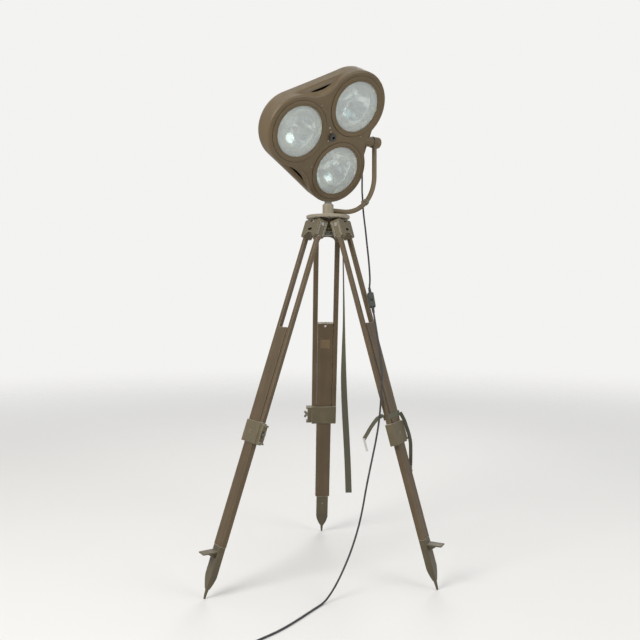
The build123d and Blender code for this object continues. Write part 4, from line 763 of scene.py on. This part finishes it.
def route_curve(name, route, radius=0.0):
    """Smooth curve whose control points are a route's points, in millimetres."""
    curve = bpy.data.curves.new(name, "CURVE")
    curve.dimensions = "3D"
    curve.resolution_u = 8
    spline = curve.splines.new("NURBS")
    spline.points.add(len(route) - 1)
    for point, place in zip(spline.points, route):
        point.co = (*(Vector(place) * MM), 1)
    spline.order_u = 3
    spline.use_endpoint_u = True
    curve.bevel_depth = radius
    curve.bevel_resolution = 4
    curve.use_fill_caps = radius > 0
    return curve


def route_mesh(name, route, radius=0.0):
    """Mesh of a route's smooth curve: its line of points, or a closed tube round it."""
    curve = route_curve(name, route, radius)
    holder = bpy.data.objects.new(name, curve)
    mesh = bpy.data.meshes.new_from_object(holder)
    bpy.data.objects.remove(holder)
    bpy.data.curves.remove(curve)
    return mesh


def route_points(route):
    """Points along a route's smooth curve, in metres."""
    mesh = route_mesh("route", route)
    points = [vertex.co.copy() for vertex in mesh.vertices]
    bpy.data.meshes.remove(mesh)
    return points


def route_length(points):
    """Length of a line of points."""
    return sum((end - start).length for start, end in zip(points, points[1:]))


def tube_piece(name, route, radius, finish):
    """Closed mesh tube along a route's smooth curve."""
    mesh = route_mesh(name, route, radius)
    mesh.name = name
    for face in mesh.polygons:
        face.use_smooth = True
    piece = in_scene(name, mesh)
    give(piece, finish)
    return piece


def strap_piece(name, points, sides, width, thickness, body):
    """Flat woven band along points, with directions across it, and a UV map in metres."""
    bm = bmesh.new()
    rows = len(points) - 1
    bmesh.ops.create_grid(bm, x_segments=STRAP_COLUMNS, y_segments=rows, size=1.0)
    surface = bm.loops.layers.uv.new("Strap")
    reached = [0.0]
    for start, end in zip(points, points[1:]):
        reached.append(reached[-1] + (end - start).length)
    spots = {}
    for vertex in bm.verts:
        share = (vertex.co.y + 1) / 2 * rows
        row = round(share)
        along = (points[min(row + 1, rows)] - points[max(row - 1, 0)]).normalized()
        side = sides[row]
        across = (side - along * side.dot(along)).normalized()
        offset = vertex.co.x * width / 2
        spots[vertex] = (offset, reached[row])
        vertex.co = points[row] + across * offset
    for face in bm.faces:
        for corner in face.loops:
            corner[surface].uv = spots[corner.vert]
    piece = new_piece(name, bm, "webbing", body)
    solid = piece.modifiers.new("Thickness", "SOLIDIFY")
    solid.thickness = thickness
    solid.offset = 0
    solid.use_even_offset = True
    edge = piece.modifiers.new("Selvedge", "BEVEL")
    edge.width = thickness * 0.3
    edge.segments = 2
    edge.limit_method = "ANGLE"
    return piece


def sides_along(points, count, turns):
    """Directions across a strap at each point, from turns in degrees at its route's points."""
    sides = []
    for index in range(len(points)):
        place = index / (len(points) - 1) * (count - 1)
        low = min(int(place), count - 2)
        turn = math.radians(turns[low] + (turns[low + 1] - turns[low]) * (place - low))
        sides.append(Vector((-math.sin(turn), math.cos(turn), 0)))
    return sides


# Cords

def half_turn_bends(step, shift, side, low, high):
    """Points outside one half turn of the coil, so that the smooth curve touches its circle."""
    radius = COIL_RADIUS - COIL_STEP * step
    quarter = PI / BENDS_PER_HALF_TURN / 2
    outer = radius / math.cos(quarter)
    bends = []
    for bend in range(BENDS_PER_HALF_TURN):
        angle = quarter * (2 * bend + 1)
        height = low + (high - low) * (bend + 0.5) / BENDS_PER_HALF_TURN
        across = side * outer * math.cos(angle)
        bends.append(Vector((shift + across, side * outer * math.sin(angle), height)))
    return bends


def coil_frame():
    """The coil's heading, the direction to its side and its middle, in millimetres."""
    heading = Vector(COIL_HEADING).normalized()
    side_way = Vector((heading.y, -heading.x, 0))
    return heading, side_way, Vector(COIL_START) + heading * COIL_LEAD_IN - side_way * COIL_RADIUS


def coil_route():
    """The coil's turns: three winding in, a climb, and three winding out above them."""
    heading, side_way, origin = coil_frame()
    half_turns = 2 * COIL_TURNS
    bends = []
    side = 1
    for step in range(half_turns):
        bends += half_turn_bends(step, -COIL_STEP * (step % 2), side, 0, 0)
        side = -side
    bends += half_turn_bends(half_turns, 0, 1, 0, COIL_LAYER)
    for step in reversed(range(half_turns)):
        side = -side if step == half_turns - 1 else side
        bends += half_turn_bends(step, COIL_STEP * (step % 2), side, COIL_LAYER, COIL_LAYER)
        side = -side
    bends.append(Vector((-COIL_RADIUS, -COIL_LEAD_OUT, COIL_LAYER)))
    return [origin + side_way * bend.x + heading * bend.y + Vector((0, 0, bend.z)) for bend in bends]


def make_upper_cord(sizes):
    """The cord from the head's gland to the clip on the yoke."""
    clip, clip_way = clip_place()
    gland = head_matrix() @ (Vector(CORD_EXIT_ON_FACE) * MM)
    route = [gland / MM, *UPPER_ROUTE, clip + clip_way * CLIP_RUN, clip]
    path = route_points(route)
    piece = tube_piece("cord_upper", route, sizes.diameter / 2, "cord")
    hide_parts("cable_upper")
    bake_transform(piece)


def make_drop_cord(sizes):
    """The cord from the clip on the yoke down to the switch."""
    clip, clip_way = clip_place()
    switch_top = Vector(SWITCH_TOP)
    switch_way = Vector(SWITCH_WAY).normalized()
    last_run = switch_top - switch_way * SWITCH_RUN
    route = [clip, clip - clip_way * CLIP_RUN, *DROP_ROUTE, last_run, switch_top]
    path = route_points(route)
    piece = tube_piece("cord_drop", route, sizes.diameter / 2, "cord")
    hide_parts("cable_drop")
    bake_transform(piece)
    relief = cord_relief("switch_relief_upper", switch_top, -switch_way)


def make_floor_cord(sizes):
    """The cord from the switch down to the floor and round its put-away coil."""
    switch_way = Vector(SWITCH_WAY).normalized()
    bottom = Vector(SWITCH_TOP) + switch_way * SWITCH_LENGTH
    route = [bottom, bottom + switch_way * SWITCH_RUN, *LOWER_ROUTE, COIL_START, *coil_route()]
    curve = route_curve("cord_floor", route, sizes.diameter / 2)
    piece = in_scene("cord_floor", curve)
    give(piece, "cord")
    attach(piece, "tripod_head")
    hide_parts("cable_lower", "cable_coil")
    relief = cord_relief("switch_relief_lower", bottom, switch_way)
    tie = cord_tie()
    route_length(route_points(route))


def cord_relief(name, start, way):
    """Tapered ribbed sleeve on the cord where it leaves the switch."""
    pitch = SLEEVE_LENGTH / SLEEVE_RIBS
    bm = bmesh.new()
    placed = Vector(way).to_track_quat("Z", "Y").to_matrix().to_4x4()
    placed.translation = Vector(start) * MM
    profile = [(SLEEVE_BORE[0], -SLEEVE_SINK), (SLEEVE_ROOT, -SLEEVE_SINK)]
    for rib in range(SLEEVE_RIBS):
        base = pitch * rib
        radius = SLEEVE_ROOT + (SLEEVE_TIP - SLEEVE_ROOT) * rib / SLEEVE_RIBS
        rib_end, groove_start, groove_end = (base + pitch * stop for stop in RIB_STOPS)
        profile += [(radius, base), (radius, rib_end), (radius - SLEEVE_GROOVE, groove_start),
                    (radius - SLEEVE_GROOVE, groove_end)]
    profile += [(SLEEVE_TIP, SLEEVE_LENGTH), (SLEEVE_BORE[1], SLEEVE_LENGTH)]
    corners = [bm.verts.new((x * MM, 0, z * MM)) for x, z in profile]
    edges = [bm.edges.new(pair) for pair in zip(corners, corners[1:])]
    bmesh.ops.spin(bm, geom=corners + edges, cent=(0, 0, 0), axis=(0, 0, 1), angle=2 * PI, steps=24,
                   use_merge=True)
    bmesh.ops.remove_doubles(bm, verts=bm.verts, dist=1e-6)
    bmesh.ops.recalc_face_normals(bm, faces=bm.faces)
    bmesh.ops.transform(bm, matrix=placed, verts=bm.verts)
    return new_piece(name, bm, "rubber", "tripod_head", smooth=False)


def cord_tie():
    """Band that holds the put-away coil together."""
    heading, side_way, origin = coil_frame()
    near = COIL_RADIUS - COIL_STEP * (2 * COIL_TURNS) - TIE_ROOM
    far = COIL_RADIUS + TIE_ROOM
    bm = bmesh.new()
    bmesh.ops.create_cube(bm, size=1.0)
    bmesh.ops.scale(bm, vec=(TIE_WIDTH * MM, (far - near) * MM, (TIE_HIGH - TIE_LOW) * MM), verts=bm.verts)
    ends = [face for face in bm.faces if abs(face.normal.x) > 0.9]
    bmesh.ops.delete(bm, geom=ends, context="FACES_ONLY")
    crosswise = [edge for edge in bm.edges if abs((edge.verts[0].co - edge.verts[1].co).x) > 1e-4]
    bmesh.ops.bevel(bm, geom=crosswise, offset=TIE_BEND * MM, affect="EDGES", segments=4, profile=0.5,
                    material=-1)
    middle = origin + heading * ((near + far) / 2) + Vector((0, 0, (TIE_LOW + TIE_HIGH) / 2))
    placed = placement(side_way, heading, Vector((0, 0, 1)), middle)
    bmesh.ops.transform(bm, matrix=placed, verts=bm.verts)
    piece = new_piece("coil_tie", bm, "rubber", "tripod_head")
    solid = piece.modifiers.new("Thickness", "SOLIDIFY")
    solid.thickness = TIE_THICKNESS * MM
    solid.offset = -1
    return piece


# Straps

def make_sling_strap(sizes):
    """The long strap that hangs from its ring, edge on above and flat below."""
    points = route_points(SLING_ROUTE)
    sides = sides_along(points, len(SLING_ROUTE), SLING_TURNS)
    piece = strap_piece("sling_webbing", points, sides, sizes.sling_width, sizes.thickness,
                        "tripod_head")
    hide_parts("sling_strap")


def points_on_leg(route, leg):
    """Points of a smooth curve in metres, from its route in millimetres in a leg's frame."""
    return [leg @ point for point in route_points(route)]


def make_leg_straps(sizes):
    """The band buckled round the right leg and its two loose ends."""
    leg = leg_matrix("right")
    turned = leg.to_3x3()
    depth, width = (size / 2 + BAND_STAND_OFF for size in BAND_ROUND)
    middle = -BAND_DISTANCE - BAND_HEIGHT / 2
    loop = []
    for x, y in ((1, 1), (-1, 1), (-1, -1), (1, -1)):
        in_x, in_y = BAND_BEND * (x == y), BAND_BEND * (x != y)
        loop += [Vector((x * (depth - in_x), y * (width - in_y), middle)),
                 Vector((x * depth, y * width, middle)),
                 Vector((x * (depth - in_y), y * (width - in_x), middle))]
    start = Vector((depth, 0, middle))
    loop = [start, *loop, start]
    points = points_on_leg(loop, leg)
    sides = [turned @ Vector((0, 0, 1))] * len(points)
    band = strap_piece("leg_band", points, sides, BAND_HEIGHT * MM, sizes.thickness, "leg_right")
    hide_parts("leg_strap")
    for name, route, side in (("leg_tail_left", LEFT_TAIL, LEFT_TAIL_SIDE),
                              ("leg_tail_right", RIGHT_TAIL, RIGHT_TAIL_SIDE)):
        points = points_on_leg(route, leg)
        sides = [turned @ Vector(side)] * len(points)
        tail = strap_piece(name, points, sides, TAIL_WIDTH * MM, sizes.thickness, "leg_right")
        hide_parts("leg_strap")


# Small hardware

def make_board_screw(name, leg, inward, distance, radius, finish):
    """Slotted round-headed screw on a leg's inner face, at a distance down the leg from its hinge."""
    height = radius * HEAD_HEIGHT
    bm = bmesh.new()
    bmesh.ops.create_cone(bm, cap_ends=True, segments=32, radius1=radius * MM, radius2=radius * MM,
                          depth=2 * height * MM)
    crown = [edge for edge in bm.edges if all(vertex.co.z > 0 for vertex in edge.verts)]
    bmesh.ops.bevel(bm, geom=crown, offset=height * HEAD_CROWN * MM, affect="EDGES", segments=4,
                    profile=0.5, material=-1)
    top = max(bm.faces, key=lambda face: face.calc_center_median().z)
    bmesh.ops.inset_region(bm, faces=[top], thickness=radius * SLOT_RIM * MM)
    bmesh.ops.scale(bm, vec=(1.0, SLOT_WIDTH, 1.0), verts=top.verts)
    bmesh.ops.translate(bm, vec=(0, 0, -height * SLOT_SINK * MM), verts=top.verts)
    bmesh.ops.recalc_face_normals(bm, faces=bm.faces)
    placed = leg_matrix(leg) @ Matrix.Translation(Vector((-inward, 0, -distance)) * MM)
    bmesh.ops.transform(bm, matrix=placed @ Matrix.Rotation(-PI / 2, 4, "Y"), verts=bm.verts)
    return new_piece(name, bm, finish, f"foot_{leg}", smooth=False)


def make_leg_screws(sizes):
    """The screw at each slider's top and the one that holds each shoe."""
    radius = sizes.screw_radius / MM
    for leg in LEGS:
        length = leg_length(leg)
        make_board_screw(f"slider_screw_{leg}", leg, SLIDER_DEPTH / 2,
                         length - SLIDER_LENGTH + SCREW_INSET, radius, "bright_steel")
        make_board_screw(f"shoe_screw_{leg}", leg, BOOT_DEPTH / 2,
                         length - BOOT_LENGTH + SHOE_SCREW_DROP, radius, "dark_steel")


# Stage

def make_stage(sizes):
    """Plain pale floor, soft lights and the camera."""
    bm = bmesh.new()
    bmesh.ops.create_circle(bm, cap_ends=True, segments=96, radius=FLOOR_RADIUS)
    mesh = bpy.data.meshes.new("studio_floor")
    bm.to_mesh(mesh)
    bm.free()
    floor = in_scene("studio_floor", mesh)
    made, tree, shader = new_material("studio_floor", Roughness=0.7)
    place = object_place(tree)
    tone = mixed(tree, noise(tree, place, 1.2, 3.0), shade(tuple(sizes.floor_colour), 0.98),
                 shade(tuple(sizes.floor_colour), 1.02))
    tree.links.new(tone, shader.inputs["Base Color"])
    away = add(tree, "ShaderNodeVectorMath", {0: place}, operation="LENGTH").outputs["Value"]
    tree.links.new(ramp_between(tree, away, *FLOOR_FADE, 1.0, 0.0), shader.inputs["Alpha"])
    mesh.materials.append(made)
    for name, place, aim, size, share, colour in LIGHTS:
        light = bpy.data.lights.new(name, "AREA")
        light.shape = "DISK"
        light.size = size
        light.energy = sizes.key_power * share
        light.color = colour
        lamp = in_scene(name, light)
        lamp.location = place
        lamp.rotation_euler = (Vector(aim) - Vector(place)).to_track_quat("-Z", "Y").to_euler()
    make_world(sizes.sky_strength)
    lens = bpy.data.cameras.new("photo_camera")
    lens.lens = CAMERA_LENS
    lens.sensor_width = CAMERA_SENSOR
    camera = in_scene("photo_camera", lens)
    camera.location = CAMERA_PLACE
    camera.rotation_euler = (math.radians(90 - CAMERA_DROP), 0, math.radians(CAMERA_TURN))
    bpy.context.scene.camera = camera
    bpy.context.scene.view_settings.view_transform = "Standard"


def make_world(strength):
    """Pale surround: plain to the camera, brighter above than below for the reflections."""
    world = bpy.data.worlds.new("studio_surround")
    world.use_nodes = True
    tree = world.node_tree
    tree.nodes.clear()
    way = add(tree, "ShaderNodeTexCoord").outputs["Generated"]
    height = add(tree, "ShaderNodeSeparateXYZ", {0: way}).outputs["Z"]
    glow = mixed(tree, ramp_between(tree, height, -0.2, 0.8), SURROUND_LOW, SURROUND_HIGH)
    lit = add(tree, "ShaderNodeBackground", {"Color": glow, "Strength": strength})
    seen = add(tree, "ShaderNodeBackground", {"Color": SEEN_SURROUND, "Strength": 1.0})
    camera_ray = add(tree, "ShaderNodeLightPath").outputs["Is Camera Ray"]
    blend = add(tree, "ShaderNodeMixShader", {0: camera_ray, 1: lit.outputs[0], 2: seen.outputs[0]})
    add(tree, "ShaderNodeOutputWorld", {"Surface": blend.outputs[0]})
    bpy.context.scene.world = world


# Settings

def colour_property(name, description, value):
    """A colour setting."""
    return FloatVectorProperty(name=name, description=description, default=value, subtype="COLOR",
                               size=3, min=0.0, max=1.0)


class LampColours(bpy.types.PropertyGroup):
    """Colours of the lamp's finishes"""

    head_paint: colour_property("Head paint", "Satin olive of the head and yoke", (0.118, 0.081, 0.038))
    fitting_paint: colour_property("Fitting paint", "Olive of the cast fittings", (0.105, 0.083, 0.042))
    plate_paint: colour_property("Plate paint", "Rubbed pale olive of plate and hub", (0.25, 0.215, 0.155))
    leg_paint: colour_property("Leg paint", "Olive brown of the wooden boards", (0.098, 0.064, 0.029))
    bare_edge: colour_property("Bare edge", "Pale wood and primer on rubbed edges", (0.48, 0.42, 0.31))
    webbing: colour_property("Webbing", "Dark olive of the straps", (0.021, 0.021, 0.012))
    cord: colour_property("Cord", "Dark grey of the cord's rubber", (0.028, 0.028, 0.03))


class LampCords(bpy.types.PropertyGroup):
    """Sizes of the cord"""

    diameter: FloatProperty(name="Diameter", description="Thickness of the cord", default=0.007,
                            min=0.004, max=0.012, unit="LENGTH")


class LampStraps(bpy.types.PropertyGroup):
    """Sizes of the straps"""

    sling_width: FloatProperty(name="Sling width", description="Width of the long strap",
                               default=0.025, min=0.01, max=0.05, unit="LENGTH")
    thickness: FloatProperty(name="Thickness", description="Thickness of the webbing",
                             default=0.0022, min=0.001, max=0.004, unit="LENGTH")


class LampScrews(bpy.types.PropertyGroup):
    """Sizes of the legs' screws"""

    screw_radius: FloatProperty(name="Screw radius", description="Radius of a screw's round head",
                                default=0.0048, min=0.002, max=0.01, unit="LENGTH")


class LampStage(bpy.types.PropertyGroup):
    """Floor and light of the studio"""

    floor_colour: colour_property("Floor", "Pale floor", (0.74, 0.73, 0.71))
    key_power: FloatProperty(name="Key light", description="Power of the main light",
                             default=110.0, min=0.0, unit="POWER")
    sky_strength: FloatProperty(name="Surround", description="Strength of the pale surround",
                                default=0.75, min=0.0, max=4.0)


# Operators

class LAMP_OT_finishes(bpy.types.Operator):
    """Make every finish and put it on the frame's pieces"""

    bl_idname = "lamp.finishes"
    bl_label = "Finishes"

    def execute(self, context):
        finish_materials(context.scene.lamp_colours)
        for finish, nodes in NODE_FINISH.items():
            for node in nodes:
                give(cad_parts[node], finish)
        return {"FINISHED"}


class LAMP_OT_cords(bpy.types.Operator):
    """Make the three runs of the cord with their sleeves and tie"""

    bl_idname = "lamp.cords"
    bl_label = "Cords"

    def execute(self, context):
        sizes = context.scene.lamp_cords
        make_upper_cord(sizes)
        make_drop_cord(sizes)
        make_floor_cord(sizes)
        return {"FINISHED"}


class LAMP_OT_straps(bpy.types.Operator):
    """Make the hanging strap and the strap round the right leg"""

    bl_idname = "lamp.straps"
    bl_label = "Straps"

    def execute(self, context):
        sizes = context.scene.lamp_straps
        make_sling_strap(sizes)
        make_leg_straps(sizes)
        return {"FINISHED"}


class LAMP_OT_screws(bpy.types.Operator):
    """Make the screws of the sliders and shoes"""

    bl_idname = "lamp.screws"
    bl_label = "Leg screws"

    def execute(self, context):
        make_leg_screws(context.scene.lamp_screws)
        return {"FINISHED"}


class LAMP_OT_stage(bpy.types.Operator):
    """Make the pale floor, the soft lights and the camera"""

    bl_idname = "lamp.stage"
    bl_label = "Stage"

    def execute(self, context):
        make_stage(context.scene.lamp_stage)
        return {"FINISHED"}


OPERATORS = (LAMP_OT_finishes, LAMP_OT_cords, LAMP_OT_straps, LAMP_OT_screws, LAMP_OT_stage)
SETTINGS = {
    "lamp_colours": LampColours,
    "lamp_cords": LampCords,
    "lamp_straps": LampStraps,
    "lamp_screws": LampScrews,
    "lamp_stage": LampStage,
}


class LAMP_PT_pieces(bpy.types.Panel):
    """The lamp's pieces and settings in the sidebar"""

    bl_idname = "LAMP_PT_pieces"
    bl_label = "Surgical floor lamp"
    bl_space_type = "VIEW_3D"
    bl_region_type = "UI"
    bl_category = "Lamp"

    def draw(self, context):
        for operator in OPERATORS:
            self.layout.operator(operator.bl_idname, text=operator.bl_label)
        for place in SETTINGS:
            group = getattr(context.scene, place)
            box = self.layout.box()
            for label in group.__annotations__:
                box.prop(group, label)


def register():
    """Adds the settings, operators and panel."""
    for made in (*SETTINGS.values(), *OPERATORS, LAMP_PT_pieces):
        bpy.utils.register_class(made)
    for place, group in SETTINGS.items():
        setattr(bpy.types.Scene, place, PointerProperty(type=group))


def unregister():
    """Takes the settings, operators and panel out again."""
    for place in SETTINGS:
        delattr(bpy.types.Scene, place)
    for made in reversed((*SETTINGS.values(), *OPERATORS, LAMP_PT_pieces)):
        bpy.utils.unregister_class(made)


def main():
    """Builds the lamp's looks in order."""
    register()
    for operator in OPERATORS:
        group, name = operator.bl_idname.split(".")
        getattr(getattr(bpy.ops, group), name)()


if __name__ == "__main__":
    main()
